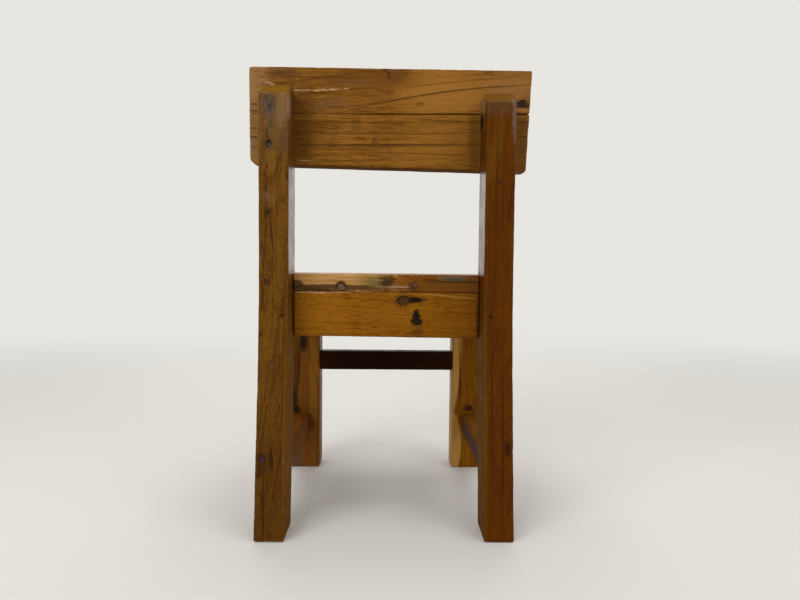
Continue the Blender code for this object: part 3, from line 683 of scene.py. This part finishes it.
left_post_finish = varnished_wood(
    "olive brown left post",
    POST_GRAIN,
    ((0.18, 0.075, 0.008), (0.06, 0.019, 0.001)),
    ((0.09, 0.21, 0.0), (0.0, 0.02, 0.01), 0.0045, 0.008, 3.0),
    knots=(
        ((0.1413, 0.4572), 0.005, 0.0035, (0.19, 0.145, 0.135), BLACK_RIM_AND_SHADOW, 0.64),
        ((0.1418, 0.3775), 0.0044, 0.003, (0.092, 0.06, 0.036), (0.032, 0.014, 0.006), 0.5),
        (
            (0.1439, 0.1289, 0.2976), 0.0036, 0.004, (0.085, 0.046, 0.022), (0.045, 0.017, 0.005),
            0.45
        ),
        ((0.1375, 0.135, 0.2009), 0.0052, 0.0036, (0.12, 0.055, 0.012), (0.06, 0.025, 0.006), 0.75),
        ((0.146, 0.148, 0.0937), 0.0046, 0.0046, (0.055, 0.032, 0.034), (0.018, 0.008, 0.007), 0.7),
    ),
    patches=(
        round_patch((0.132, 0.155, -0.01), (0.17, 0.05, 0.1), (0.06, 0.018, 0.001), 0.5, ragged=0.2),
        round_patch((0.134, 0.484), (0.032, 0.018), (0.175, 0.092, 0.036), 0.45, ragged=0.6),
        round_patch((0.1262, 0.499), (0.022, 0.0065), (0.21, 0.12, 0.056), 0.55, ragged=0.8),
        round_patch((0.1405, 0.439), (0.015, 0.008), (0.19, 0.086, 0.014), 0.6, ragged=0.6),
        round_patch((0.1414, 0.503), (0.013, 0.008), (0.15, 0.098, 0.068), 0.8, ragged=0.9),
        round_patch((0.1405, 0.504), (0.011, 0.006), (0.04, 0.024, 0.018), 0.7, ragged=2.1),
        round_patch((0.1397, 0.501), (0.0024, 0.0012), BLACK_RIM_AND_SHADOW, 0.7),
        # Painted light: the chamfer painted golden, as it is lit from above.
        round_patch((0.1348, 0.1178, 0.5232), (0.011, 0.03, 0.0105), CHAMFER_PAINTED_LIGHT, 0.9, ragged=0.15),
        round_patch((0.1392, 0.4795), (0.005, 0.0024), (0.055, 0.04, 0.022), 0.7, ragged=0.6),
        streak((0.1434, 0.4783), (0.1434, 0.462), 0.002, (0.045, 0.022, 0.01), 0.7, ragged=0.7),
        # Painted highlight: a thin light line down the post's inner arris.
        streak((0.1191, 0.518), (0.1191, 0.488), 0.0009, (0.34, 0.24, 0.15), 0.6, ragged=0.5),
        round_patch((0.1267, 0.4783), (0.002, 0.0016), (0.24, 0.13, 0.11), 0.7),
        round_patch((0.124, 0.466), (0.016, 0.0048), (0.075, 0.034, 0.018), 0.6, ragged=1.6),
        streak((0.1431, 0.437), (0.1431, 0.4285), 0.001, DARK_STREAK, 0.8),
        streak((0.1208, 0.425), (0.1212, 0.417), 0.0012, DARK_STREAK, 0.8),
        streak((0.1262, 0.452), (0.135, 0.418), 0.0016, (0.055, 0.022, 0.004), 0.6, ragged=0.5),
        round_patch((0.141, 0.3975), (0.006, 0.0065), (0.19, 0.1, 0.055), 0.45, ragged=1.8),
        round_patch((0.1265, 0.3935), (0.004, 0.0035), (0.065, 0.028, 0.003), 0.6, ragged=0.7),
        streak((0.14, 0.373), (0.136, 0.333), 0.0009, DARK_STREAK, 0.8, bow=0.5),
        round_patch((0.1478, 0.336), (0.011, 0.003), (0.055, 0.02, 0.01), 0.7, ragged=1.2),
        round_patch((0.1385, 0.3155), (0.008, 0.006), (0.06, 0.026, 0.004), 0.6, ragged=0.6),
        streak((0.1395, 0.308), (0.14, 0.299), 0.0016, DARK_STREAK, 0.6, ragged=0.8),
        round_patch((0.1497, 0.131, 0.2368), (0.0032, 0.0018), (0.06, 0.012, 0.004), 0.85),
        streak((0.129, 0.26), (0.137, 0.14, 0.15), 0.003, (0.075, 0.026, 0.004), 0.55),
        streak(
            (0.1228, 0.129, 0.3), (0.1212, 0.15, 0.01), 0.0026, (0.05, 0.016, 0.003),
            0.65, deep=0.08
        ),
        streak(
            (0.1353, 0.1467, 0.106), (0.1345, 0.1495, 0.079), 0.0026, DARK_STREAK, 0.9, ragged=0.5
        ),
        streak((0.146, 0.148, 0.088), (0.1465, 0.148, 0.074), 0.005, DARK_STREAK, 0.7, ragged=1.6),
        round_patch((0.1208, 0.1483, 0.09), (0.004, 0.002), (0.05, 0.01, 0.002), 0.8),
        round_patch((0.121, 0.1483, 0.0908), (0.0018, 0.0011), (0.26, 0.19, 0.18), 0.8),
        round_patch((0.134, 0.159, 0.0008), (0.0014, 0.015), (0.3, 0.21, 0.12), 0.5, ragged=0.5),
        streak((0.144, 0.1536, 0.07), (0.142, 0.1588, 0.004), 0.0016, DARK_STREAK, 0.7, deep=0.06),
        streak(
            (0.1186, 0.108, 0.26), (0.1186, 0.13, 0.0), 0.004, (0.15, 0.06, 0.004), 0.8, deep=0.5
        ),
    ),
    polished=(
        round_patch((0.1186, 0.1, 0.385), (0.115, 0.004, 0.1), None, 0.34, soft=0.2, ragged=0.05),
        round_patch((0.1186, 0.13, 0.11), (0.15, 0.004, 0.1), None, -0.9, soft=0.2, ragged=0.05),
        round_patch((0.1348, 0.1178, 0.5232), (0.011, 0.03, 0.0105), None, -1.1, soft=0.2, ragged=0.15),
    ),
    flecks=((170.0, 420.0, 420.0), 0.32),
    contrast=1.05,
    rear=POST_REAR,
)
age(
    "rear_post_left",
    left_post_finish,
    POST_GRAIN,
    1.0,
    presses=(
        ((0.1413, 0.1286, 0.4572), (0.0045, 0.05, 0.0065), (0.0, -0.0016, 0.0)),
        ((0.1421, 0.1286, 0.3779), (0.004, 0.05, 0.005), (0.0, -0.0008, 0.0)),
        ((0.1513, 0.1383, 0.1721), (0.004, 0.006, 0.005), (-0.0014, 0.0, 0.0)),
        ((0.1186, 0.1403, 0.1562), (0.004, 0.006, 0.005), (0.0012, 0.0, 0.0)),
    ),
)

right_post_finish = varnished_wood(
    "red brown right post",
    POST_GRAIN,
    ((0.122, 0.034, 0.0002), (0.056, 0.012, 0.0001)),
    ((-0.16, 0.19, 0.0), (0.0, 0.015, 0.02), 0.004, 0.006, 8.0),
    knots=(
        ((-0.1398, 0.1466, 0.105), 0.0065, 0.003, (0.05, 0.012, 0.006), (0.02, 0.006, 0.003), 0.5),
        ((-0.1281, 0.4171), 0.0018, 0.0018, (0.02, 0.012, 0.01), (0.04, 0.014, 0.008), 0.5),
    ),
    patches=(
        round_patch((-0.127, 0.506), (0.012, 0.02), (0.105, 0.054, 0.026), 0.5, ragged=0.8),
        streak((-0.13, 0.5), (-0.117, 0.42), 0.006, (0.125, 0.05, 0.002), 0.55, ragged=0.8),
        # Painted light: the chamfer painted golden, as it is lit from above.
        round_patch(
            (-0.1282, 0.118, 0.518), (0.012, 0.03, 0.0105), (0.15, 0.062, 0.003), 0.95, ragged=0.15
        ),
        streak(
            (-0.143, 0.127, 0.517), (-0.1448, 0.127, 0.468), 0.0028, (0.2, 0.14, 0.12),
            0.45, ragged=1.0
        ),
        streak((-0.124, 0.5), (-0.125, 0.39), 0.0012, DARK_STREAK, 0.5),
        streak((-0.133, 0.47), (-0.132, 0.34), 0.001, DARK_STREAK, 0.5),
        round_patch((-0.118, 0.454), (0.0012, 0.005), (0.12, 0.06, 0.03), 0.4),
        streak((-0.1215, 0.129, 0.3), (-0.121, 0.15, 0.04), 0.0011, DARK_STREAK, 0.6, deep=0.06),
        streak(
            (-0.134, 0.129, 0.22), (-0.133, 0.155, 0.02), 0.0016, (0.035, 0.009, 0.002),
            0.6, deep=0.06
        ),
        # Painted reflection: a golden sheen at the top of the post's inner face.
        round_patch((-0.1115, 0.095, 0.513), (0.012, 0.002, 0.02), (0.25, 0.13, 0.045), 0.8, soft=0.3),
        round_patch(
            (-0.1115, 0.087, 0.496), (0.011, 0.012, 0.011), (0.004, 0.002, 0.001),
            1.0, soft=0.2, ragged=0.2
        ),
        streak(
            (-0.1115, 0.108, 0.26), (-0.1115, 0.13, 0.0), 0.004, (0.125, 0.055, 0.006),
            0.7, deep=0.5
        ),
    ),
    polished=(
        round_patch((-0.1115, 0.1, 0.385), (0.115, 0.004, 0.1), None, 0.34, soft=0.2, ragged=0.05),
        round_patch((-0.1115, 0.13, 0.1), (0.14, 0.004, 0.1), None, -0.8, soft=0.2, ragged=0.05),
        round_patch((-0.1282, 0.118, 0.518), (0.012, 0.03, 0.0105), None, -1.1, soft=0.2, ragged=0.15),
        round_patch((-0.1115, 0.087, 0.496), (0.011, 0.012, 0.011), None, -2.0, soft=0.2, ragged=0.2),
    ),
    flecks=((120.0, 640.0, 640.0), 0.32),
    contrast=0.8,
    rear=POST_REAR,
)
age(
    "rear_post_right",
    right_post_finish,
    POST_GRAIN,
    2.0,
    presses=(
        ((-0.1115, 0.1375, 0.1675), (0.003, 0.005, 0.004), (-0.0009, 0.0, 0.0)),
        ((-0.1115, 0.1405, 0.1386), (0.003, 0.005, 0.004), (-0.0009, 0.0, 0.0)),
    ),
)


# Front legs. Two square lengths of golden softwood with their rear faces to the camera. The left
# one has black knots and reddish heartwood, the right one a strip of pale sapwood at its inner
# arris. The stretchers and the rails are tenoned into them.
LEG_REAR = -0.1064
SAPWOOD = (0.46, 0.24, 0.06)

left_leg_finish = varnished_wood(
    "golden brown left leg",
    POST_GRAIN,
    ((0.225, 0.09, 0.008), (0.095, 0.028, 0.002)),
    ((0.13, -0.05, 0.0), (0.0, 0.01, 0.02), 0.004, 0.008, 5.0),
    knots=(
        ((0.1436, 0.0927), 0.0062, 0.0044, (0.02, 0.012, 0.01), BLACK_RIM_AND_SHADOW, 0.4),
        ((0.1225, 0.074), 0.0115, 0.005, (0.18, 0.065, 0.012), (0.09, 0.024, 0.005), 0.75),
    ),
    patches=(
        streak((0.131, 0.25), (0.13, 0.0), 0.005, (0.14, 0.042, 0.006), 0.45),
        streak((0.118, 0.25), (0.118, 0.0), 0.006, (0.25, 0.105, 0.014), 0.5),
        # Painted shadow: a black patch on the leg's rear face.
        round_patch((0.1344, 0.1985), (0.014, 0.0062, 0.01), BLACK_RIM_AND_SHADOW, 0.95, ragged=0.4),
        # Painted shade along the leg's left edge.
        round_patch((0.148, 0.15), (0.09, 0.006, 0.01), (0.05, 0.018, 0.004), 0.6),
        streak((0.138, 0.196), (0.144, 0.11), 0.0028, DARK_STREAK, 0.7, bow=0.5),
        # Painted shadow: a dark line on the leg's left side, above the side stretcher.
        streak((0.1485, 0.13), (0.145, 0.085), 0.0045, (0.02, 0.009, 0.005), 0.85),
        round_patch((0.124, 0.0925), (0.0007, 0.013, 0.01), (0.06, 0.02, 0.006), 0.6, ragged=0.2),
        round_patch((0.144, 0.03), (0.04, 0.01, 0.01), (0.09, 0.06, 0.05), 0.6, ragged=0.5),
        round_patch((0.12, 0.018), (0.03, 0.014, 0.03), (0.18, 0.06, 0.01), 0.4),
    ),
    rear=LEG_REAR,
)
right_leg_finish = varnished_wood(
    "golden brown right leg",
    POST_GRAIN,
    ((0.245, 0.09, 0.004), (0.115, 0.033, 0.001)),
    ((-0.16, -0.05, 0.0), (0.0, 0.01, 0.02), 0.004, 0.006, 6.0),
    knots=(
        ((-0.1284, 0.0957), 0.0045, 0.0065, (0.06, 0.012, 0.006), (0.025, 0.006, 0.003), 0.5),
    ),
    patches=(
        round_patch((-0.0985, 0.21), (0.126, 0.016, 0.05), SAPWOOD, 0.9, soft=0.08, ragged=0.05),
        round_patch((-0.0985, 0.038), (0.054, 0.018, 0.05), SAPWOOD, 0.85, soft=0.1, ragged=0.06),
        streak((-0.111, 0.23), (-0.1145, 0.095), 0.0014, (0.05, 0.012, 0.002), 0.6),
    ),
    rear=LEG_REAR,
)
age("front_leg_left", left_leg_finish, POST_GRAIN, 3.0)
age("front_leg_right", right_leg_finish, POST_GRAIN, 4.0)


# Seat rails. Four softwood boards on edge, tenoned into the posts and the legs and mitred inside
# them. The rear one is orange brown, with a ringed knot, its black tail and a black blotch.
RAIL_REAR = 0.0981
# Dirt and painted shade where the rear rail meets the posts.
RAIL_END_DIRT_AND_SHADE = (0.03, 0.012, 0.005)

rear_rail_finish = varnished_wood(
    "orange brown rear rail",
    "XZY",
    ((0.285, 0.108, 0.004), (0.14, 0.04, 0.001)),
    ((0.0, 0.16, 0.36), (0.0, 0.02, 0.03), 0.006, 0.008, 11.0),
    knots=(
        ((-0.0168, 0.2759), 0.008, 0.0058, (0.1, 0.034, 0.009), BLACK_RIM_AND_SHADOW, 0.72),
    ),
    patches=(
        round_patch((0.0, 0.255), (0.05, 0.016), (0.25, 0.095, 0.006), 0.4),
        round_patch((0.085, 0.26), (0.035, 0.03), (0.33, 0.13, 0.008), 0.4),
        round_patch((-0.085, 0.26), (0.045, 0.04), (0.165, 0.058, 0.002), 0.5),
        round_patch((-0.0315, 0.2768), (0.012, 0.0036), (0.007, 0.005, 0.004), 1.0, soft=0.4, ragged=0.4),
        round_patch((-0.0335, 0.2545), (0.0046, 0.01), (0.006, 0.005, 0.004), 1.0, soft=0.3, ragged=0.6),
        round_patch((-0.0345, 0.2492), (0.0068, 0.005), (0.01, 0.007, 0.004), 0.95, soft=0.3, ragged=0.7),
        round_patch((-0.029, 0.251), (0.0026, 0.0044), (0.016, 0.009, 0.004), 0.9, ragged=0.7),
        round_patch((-0.035, 0.237), (0.007, 0.0045), (0.055, 0.02, 0.008), 0.6, ragged=0.6),
        streak((-0.0376, 0.2845), (-0.1091, 0.2785), 0.0007, (0.36, 0.19, 0.06), 0.7),
        streak((-0.066, 0.2671), (-0.084, 0.268), 0.0009, (0.11, 0.022, 0.002), 0.6, ragged=0.6),
        streak((-0.064, 0.2612), (-0.108, 0.26), 0.0008, (0.11, 0.024, 0.002), 0.5, ragged=0.6),
        round_patch((0.085, 0.2868), (0.045, 0.002), (0.5, 0.32, 0.17), 0.85, ragged=1.2),
        # Dirt and painted shade at the rail's ends, beside the posts.
        round_patch((-0.111, 0.26), (0.004, 0.04), RAIL_END_DIRT_AND_SHADE, 0.75),
        round_patch((0.119, 0.26), (0.0035, 0.04), RAIL_END_DIRT_AND_SHADE, 0.7),
    ),
    flecks=((90.0, 700.0, 700.0), 0.8),
    rear=RAIL_REAR,
)
rail_finish = varnished_wood(
    "brown side rails",
    "YZX",
    ((0.19, 0.08, 0.014), (0.08, 0.026, 0.004)),
    ((0.22, 0.0, 0.34), (0.0, 0.02, 0.03), 0.005, 0.008, 12.0),
)
front_rail_finish = varnished_wood(
    "brown front rail",
    "XZY",
    ((0.2, 0.085, 0.014), (0.085, 0.028, 0.004)),
    ((0.0, -0.2, 0.36), (0.0, 0.02, 0.03), 0.005, 0.008, 13.0),
    knots=(
        ((0.042, -0.14, 0.262), 0.008, 0.006, (0.12, 0.05, 0.02), (0.03, 0.011, 0.006), 0.6),
    ),
)
age(
    "rear_seat_rail",
    rear_rail_finish,
    "XZY",
    5.0,
    presses=(((0.0, 0.0975, 0.2877), (0.3, 0.008, 0.004), (0.0, 0.0002, 0.0007)),),
)
age("front_seat_rail", front_rail_finish, "XZY", 6.0, VOXEL_HIDDEN)
age("side_seat_rail_left", rail_finish, "YZX", 7.0, VOXEL_HIDDEN)
age("side_seat_rail_right", rail_finish, "YZX", 8.0, VOXEL_HIDDEN)


# Stretchers. Two low ones of softwood tie the rear posts to the front legs, and a near-black one
# ties the front legs. All three are tenoned in.
left_stretcher_finish = varnished_wood(
    "red brown left stretcher",
    "YZX",
    ((0.205, 0.064, 0.001), (0.085, 0.022, 0.0005)),
    ((0.2, 0.0, 0.12), (0.0, 0.02, 0.03), 0.004, 0.008, 14.0),
    dull=0.84,
)
right_stretcher_finish = varnished_wood(
    "brown and grey right stretcher",
    "YZX",
    ((0.24, 0.084, 0.004), (0.1, 0.03, 0.002)),
    ((-0.2, 0.0, 0.12), (0.0, 0.02, 0.03), 0.004, 0.008, 16.0),
    patches=(
        round_patch((-0.1165, 0.0, 0.07), (0.2, 0.0155, 0.0022), (0.05, 0.028, 0.02), 0.85),
    ),
    dull=0.84,
)
front_stretcher_finish = varnished_wood(
    "near-black front stretcher",
    "XZY",
    ((0.022, 0.004, 0.001), (0.008, 0.002, 0.0005)),
    ((0.0, -0.16, 0.2), (0.0, 0.02, 0.03), 0.004, 0.008, 15.0),
    dull=0.5,
)
age("side_stretcher_left", left_stretcher_finish, "YZX", 9.0)
age("side_stretcher_right", right_stretcher_finish, "YZX", 10.0)
age("front_stretcher", front_stretcher_finish, "XZY", 11.0)


# Back. Two softwood boards glued edge to edge and nailed to the posts. The joint has opened, the
# upper board's ring lines climb to the right, and both boards' ends are weathered.
BOARD_REAR = 0.0759
TORN = (0.52, 0.35, 0.19)
WEATHERED = (0.34, 0.19, 0.08)
# Dark lines on the boards: ring lines, and painted shade along the lower board's bottom arris.
BOARD_LINE = (0.055, 0.02, 0.004)

upper_board_finish = varnished_wood(
    "mid brown upper board",
    "XZY",
    ((0.285, 0.12, 0.016), (0.118, 0.038, 0.003)),
    ((0.0, 0.02, 0.385), (0.0, -0.13, 0.0), 0.0085, 0.006, 21.0),
    knots=(
        ((-0.0026, 0.564), 0.0105, 0.0125, (0.18, 0.075, 0.016), (0.05, 0.016, 0.004), 0.82),
    ),
    patches=(
        round_patch((-0.07, 0.53), (0.06, 0.03), (0.37, 0.16, 0.03), 0.6),
        round_patch((-0.036, 0.5199), (0.005, 0.0022), (0.09, 0.03, 0.006), 0.6, ragged=1.0),
        round_patch((-0.15, 0.542), (0.03, 0.02), (0.34, 0.16, 0.05), 0.45),
        round_patch((0.035, 0.549), (0.055, 0.012), (0.115, 0.04, 0.006), 0.5),
        streak((0.0572, 0.5161), (-0.173, 0.5515), 0.0011, BOARD_LINE, 0.75, bow=-0.474),
        streak((0.03, 0.535), (-0.173, 0.559), 0.0008, BOARD_LINE, 0.4, bow=-0.3),
        streak((0.175, 0.5495), (0.02, 0.5522), 0.0008, BOARD_LINE, 0.65),
        streak((0.06, 0.514), (0.015, 0.508), 0.0009, BOARD_LINE, 0.5),
        round_patch((0.075, 0.518), (0.026, 0.007), (0.125, 0.058, 0.028), 0.4, ragged=0.9),
        # Painted shadow of the left post, on the board beside it.
        round_patch((0.109, 0.523), (0.016, 0.022), (0.09, 0.034, 0.006), 0.55),
        round_patch((0.1438, 0.556), (0.013, 0.004), (0.06, 0.025, 0.01), 0.6, ragged=0.6),
        round_patch((0.1253, 0.5545), (0.014, 0.006), (0.07, 0.03, 0.012), 0.6, ragged=0.6),
        round_patch((0.05, 0.545), (0.02, 0.004), (0.15, 0.075, 0.035), 0.3, ragged=0.9),
        streak((0.157, 0.544), (0.146, 0.5418), 0.0011, TORN, 0.6, ragged=1.8),
        streak((0.118, 0.5345), (0.08, 0.535), 0.0007, TORN, 0.6, ragged=1.9),
        streak((0.09, 0.535), (0.058, 0.537), 0.0008, TORN, 0.7, ragged=1.6),
        streak((0.11, 0.53), (0.07, 0.533), 0.0012, BOARD_LINE, 0.5, ragged=0.8),
        round_patch((-0.1645, 0.5215), (0.013, 0.005), (0.02, 0.011, 0.012), 0.97, soft=0.2, ragged=1.2),
        round_patch((-0.164, 0.514), (0.01, 0.0026), (0.36, 0.15, 0.035), 0.75),
        round_patch((0.176, 0.53), (0.02, 0.07, 0.03), WEATHERED, 0.65, soft=0.9, ragged=1.0),
        round_patch((0.17, 0.5168), (0.005, 0.0008), DARK_STREAK, 0.8),
        round_patch((0.169, 0.5085), (0.007, 0.0008), DARK_STREAK, 0.7),
    ),
    flecks=((60.0, 780.0, 780.0), 0.5),
    rear=BOARD_REAR,
)
lower_board_finish = varnished_wood(
    "mid brown lower board",
    "XZY",
    ((0.31, 0.132, 0.018), (0.12, 0.042, 0.003)),
    ((0.0, 0.24, 0.36), (0.0, 0.01, 0.02), 0.0075, 0.005, 22.0),
    knots=(
        ((0.0196, 0.4724), 0.0036, 0.0034, (0.19, 0.075, 0.012), (0.09, 0.03, 0.005), 0.85),
    ),
    patches=(
        round_patch((-0.06, 0.475), (0.05, 0.035), (0.29, 0.122, 0.018), 0.45),
        round_patch((0.0435, 0.495), (0.006, 0.012), (0.09, 0.034, 0.006), 0.4),
        # Painted shadow of the left post, on the board beside it.
        round_patch((0.109, 0.48), (0.014, 0.04), (0.085, 0.03, 0.005), 0.5),
        streak((0.1129, 0.4809), (-0.1116, 0.4838), 0.0009, BOARD_LINE, 0.6, bow=0.2),
        streak((0.1129, 0.4674), (-0.1116, 0.4702), 0.0013, BOARD_LINE, 0.8),
        streak((-0.02, 0.501), (-0.105, 0.4985), 0.001, BOARD_LINE, 0.6),
        streak((0.03, 0.46), (-0.11, 0.4575), 0.0009, BOARD_LINE, 0.5),
        # Painted shadow of the right post, on the board beside it.
        round_patch((-0.105, 0.473), (0.0075, 0.042), (0.085, 0.038, 0.006), 0.65),
        round_patch((0.108, 0.4483), (0.008, 0.0007), TORN, 0.5, ragged=1.0),
        round_patch((0.176, 0.47), (0.02, 0.07, 0.03), (0.31, 0.18, 0.07), 0.65, soft=0.9, ragged=1.0),
        round_patch((0.17, 0.4874), (0.006, 0.0008), DARK_STREAK, 0.7),
        round_patch((0.17, 0.4764), (0.007, 0.0008), DARK_STREAK, 0.8),
        round_patch((0.17, 0.4641), (0.006, 0.0007), DARK_STREAK, 0.6),
        round_patch((-0.169, 0.47), (0.012, 0.05, 0.03), (0.13, 0.052, 0.014), 0.7),
        # Painted shade: a dark line along the board's bottom arris.
        streak((0.175, 0.4426), (-0.173, 0.437), 0.0022, BOARD_LINE, 0.7, deep=0.03),
        round_patch((-0.165, 0.4997), (0.008, 0.0009), DARK_STREAK, 0.6),
        round_patch((-0.165, 0.4812), (0.008, 0.0009), DARK_STREAK, 0.6),
    ),
    polished=(
        streak((0.175, 0.4426), (-0.173, 0.437), 0.0022, None, -1.2, deep=0.03),
    ),
    flecks=((60.0, 780.0, 780.0), 0.55),
    rear=BOARD_REAR,
)
age(
    "back_board_upper",
    upper_board_finish,
    "XZY",
    12.0,
    presses=(
        ((0.118, 0.075, 0.5062), (0.085, 0.012, 0.004), (0.0, 0.0, -0.0008)),
        ((-0.1755, 0.066, 0.507), (0.008, 0.03, 0.005), (0.0, 0.0, -0.0008)),
    ),
)
age(
    "back_board_lower",
    lower_board_finish,
    "XZY",
    13.0,
    presses=(
        ((0.118, 0.075, 0.5062), (0.085, 0.012, 0.004), (0.0, 0.0, 0.0009)),
        ((0.05, 0.065, 0.507), (0.3, 0.009, 0.006), (0.0, 0.0, 0.0014)),
        ((-0.1755, 0.066, 0.506), (0.008, 0.03, 0.005), (0.0, 0.0, 0.0009)),
    ),
)


# Seat. Three golden softwood planks nailed down on the rails, the rear one notched round the
# posts. Its rear edge keeps the bark side of the tree, and shows light wood, knots and a grey
# wedge.
SEAT_REAR = 0.0966
WANE = (0.06, 0.027, 0.011)

seat_rear_finish = varnished_wood(
    "golden rear plank",
    "XYZ",
    ((0.54, 0.31, 0.11), (0.34, 0.165, 0.045)),
    ((0.0, 0.0, 0.46), (0.0, 0.06, 0.05), 0.005, 0.01, 31.0),
    patches=(
        round_patch((-0.065, 0.298), (0.062, 0.02, 0.04), (0.116, 0.034, 0.0002), 0.92, soft=0.25),
        round_patch((-0.02, 0.299), (0.022, 0.01, 0.006), (0.2, 0.062, 0.004), 0.75),
        round_patch(
            (0.019, 0.296), (0.015, 0.012, 0.009), (0.13, 0.092, 0.028), 0.85, soft=0.9, ragged=0.4
        ),
        round_patch(
            (0.003, 0.2975), (0.0085, 0.012, 0.011), (0.026, 0.016, 0.004),
            0.9, soft=0.8, ragged=0.5
        ),
        round_patch((-0.01, 0.2924), (0.0165, 0.012, 0.0009), (0.36, 0.21, 0.14), 0.75),
        round_patch((0.07, 0.2908), (0.052, 0.012, 0.0042), WANE, 0.93, soft=0.25, ragged=0.25),
        round_patch((0.115, 0.2945), (0.0095, 0.012, 0.0055), WANE, 0.9, soft=0.25, ragged=0.25),
        round_patch((0.018, 0.289), (0.026, 0.012, 0.0024), (0.12, 0.04, 0.008), 0.85),
        round_patch(
            (0.0594, 0.293), (0.0066, 0.012, 0.0062), (0.02, 0.008, 0.004),
            0.95, soft=0.2, ragged=0.1
        ),
        round_patch(
            (0.059, 0.292), (0.0044, 0.012, 0.004), (0.15, 0.08, 0.042), 0.85, soft=0.3, ragged=0.8
        ),
        round_patch((-0.03, 0.2935), (0.0055, 0.012, 0.0065), (0.05, 0.02, 0.012), 0.9, ragged=0.8),
        round_patch((-0.031, 0.295), (0.003, 0.012, 0.0025), (0.15, 0.07, 0.03), 0.7, ragged=1.2),
        round_patch((-0.0313, 0.3046), (0.02, 0.012, 0.0007), (0.16, 0.03, 0.005), 0.8),
        round_patch(
            (-0.078, 0.3028), (0.015, 0.02, 0.0026), (0.17, 0.125, 0.08), 0.85, soft=0.5, ragged=0.9
        ),
        round_patch((-0.079, 0.3022), (0.012, 0.02, 0.0018), (0.06, 0.04, 0.022), 0.85, ragged=1.4),
        round_patch((-0.08, 0.2992), (0.035, 0.02, 0.0012), (0.035, 0.016, 0.006), 0.8, ragged=0.3),
        round_patch((-0.05, 0.301), (0.01, 0.02, 0.0016), (0.1, 0.022, 0.003), 0.8, ragged=0.3),
    ),
    rear=SEAT_REAR,
)
seat_finish = varnished_wood(
    "golden seat planks",
    "XYZ",
    ((0.3, 0.14, 0.03), (0.15, 0.055, 0.01)),
    ((0.0, -0.1, 0.46), (0.0, 0.06, 0.05), 0.005, 0.01, 32.0),
    knots=(
        ((0.052, -0.03, 0.308), 0.008, 0.006, (0.14, 0.06, 0.03), (0.04, 0.016, 0.01), 0.6),
        ((-0.081, -0.118, 0.308), 0.007, 0.0052, (0.1, 0.05, 0.03), BLACK_RIM_AND_SHADOW, 0.5),
    ),
    patches=(
        round_patch((0.01, -0.05, 0.308), (0.1, 0.06), (0.36, 0.185, 0.055), 0.4, soft=0.6),
        round_patch((0.12, -0.13, 0.308), (0.045, 0.02), (0.1, 0.034, 0.006), 0.5, ragged=0.6),
        round_patch((-0.125, -0.035, 0.308), (0.03, 0.025), (0.12, 0.045, 0.01), 0.5, ragged=0.6),
        round_patch((-0.02, -0.145, 0.308), (0.05, 0.004), (0.4, 0.24, 0.12), 0.5, ragged=0.9),
        streak((0.09, -0.01, 0.308), (0.02, -0.024, 0.308), 0.0008, TORN, 0.6, ragged=0.8),
        streak((-0.03, -0.09, 0.308), (-0.09, -0.08, 0.308), 0.0008, TORN, 0.5, ragged=0.8),
        streak((0.06, -0.115, 0.308), (0.025, -0.1, 0.308), 0.0007, DARK_STREAK, 0.6, ragged=0.5),
    ),
)
age(
    "seat_plank_rear",
    seat_rear_finish,
    "XYZ",
    14.0,
    presses=(((0.0, 0.096, 0.288), (0.3, 0.008, 0.004), (0.0, 0.0, -0.0007)),),
)
age("seat_plank_middle", seat_finish, "XYZ", 15.0, VOXEL_HIDDEN)
age("seat_plank_front", seat_finish, "XYZ", 16.0, VOXEL_HIDDEN)


# Nails. Round-headed wire nails of plain steel, darkened and rusted, with their heads driven
# just under the surface.
nail_finish = bpy.data.materials.new("rusted steel nails")
nail_finish.use_nodes = True
nail_tree = nail_finish.node_tree
nail_shader = nail_tree.nodes["Principled BSDF"]
nail_place = add_node(nail_tree, "ShaderNodeTexCoord").outputs["Object"]
rust = noise(nail_tree, vectors(nail_tree, "SCALE", nail_place, 900.0), 3.0, 0.6)
rust = fade(nail_tree, rust, 0.4, 0.62)
nail_colour = paint(nail_tree, rust, (0.05, 0.035, 0.03), (0.04, 0.014, 0.008))
feed(nail_tree, nail_shader.inputs["Base Color"], nail_colour)
feed(nail_tree, nail_shader.inputs["Roughness"], arith(nail_tree, "MULTIPLY_ADD", rust, 0.3, 0.5))
nail_shader.inputs["Metallic"].default_value = 0.3
for node_name, nail_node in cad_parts.items():
    if "nail" in node_name:
        nail_node.data.materials.clear()
        nail_node.data.materials.append(nail_finish)
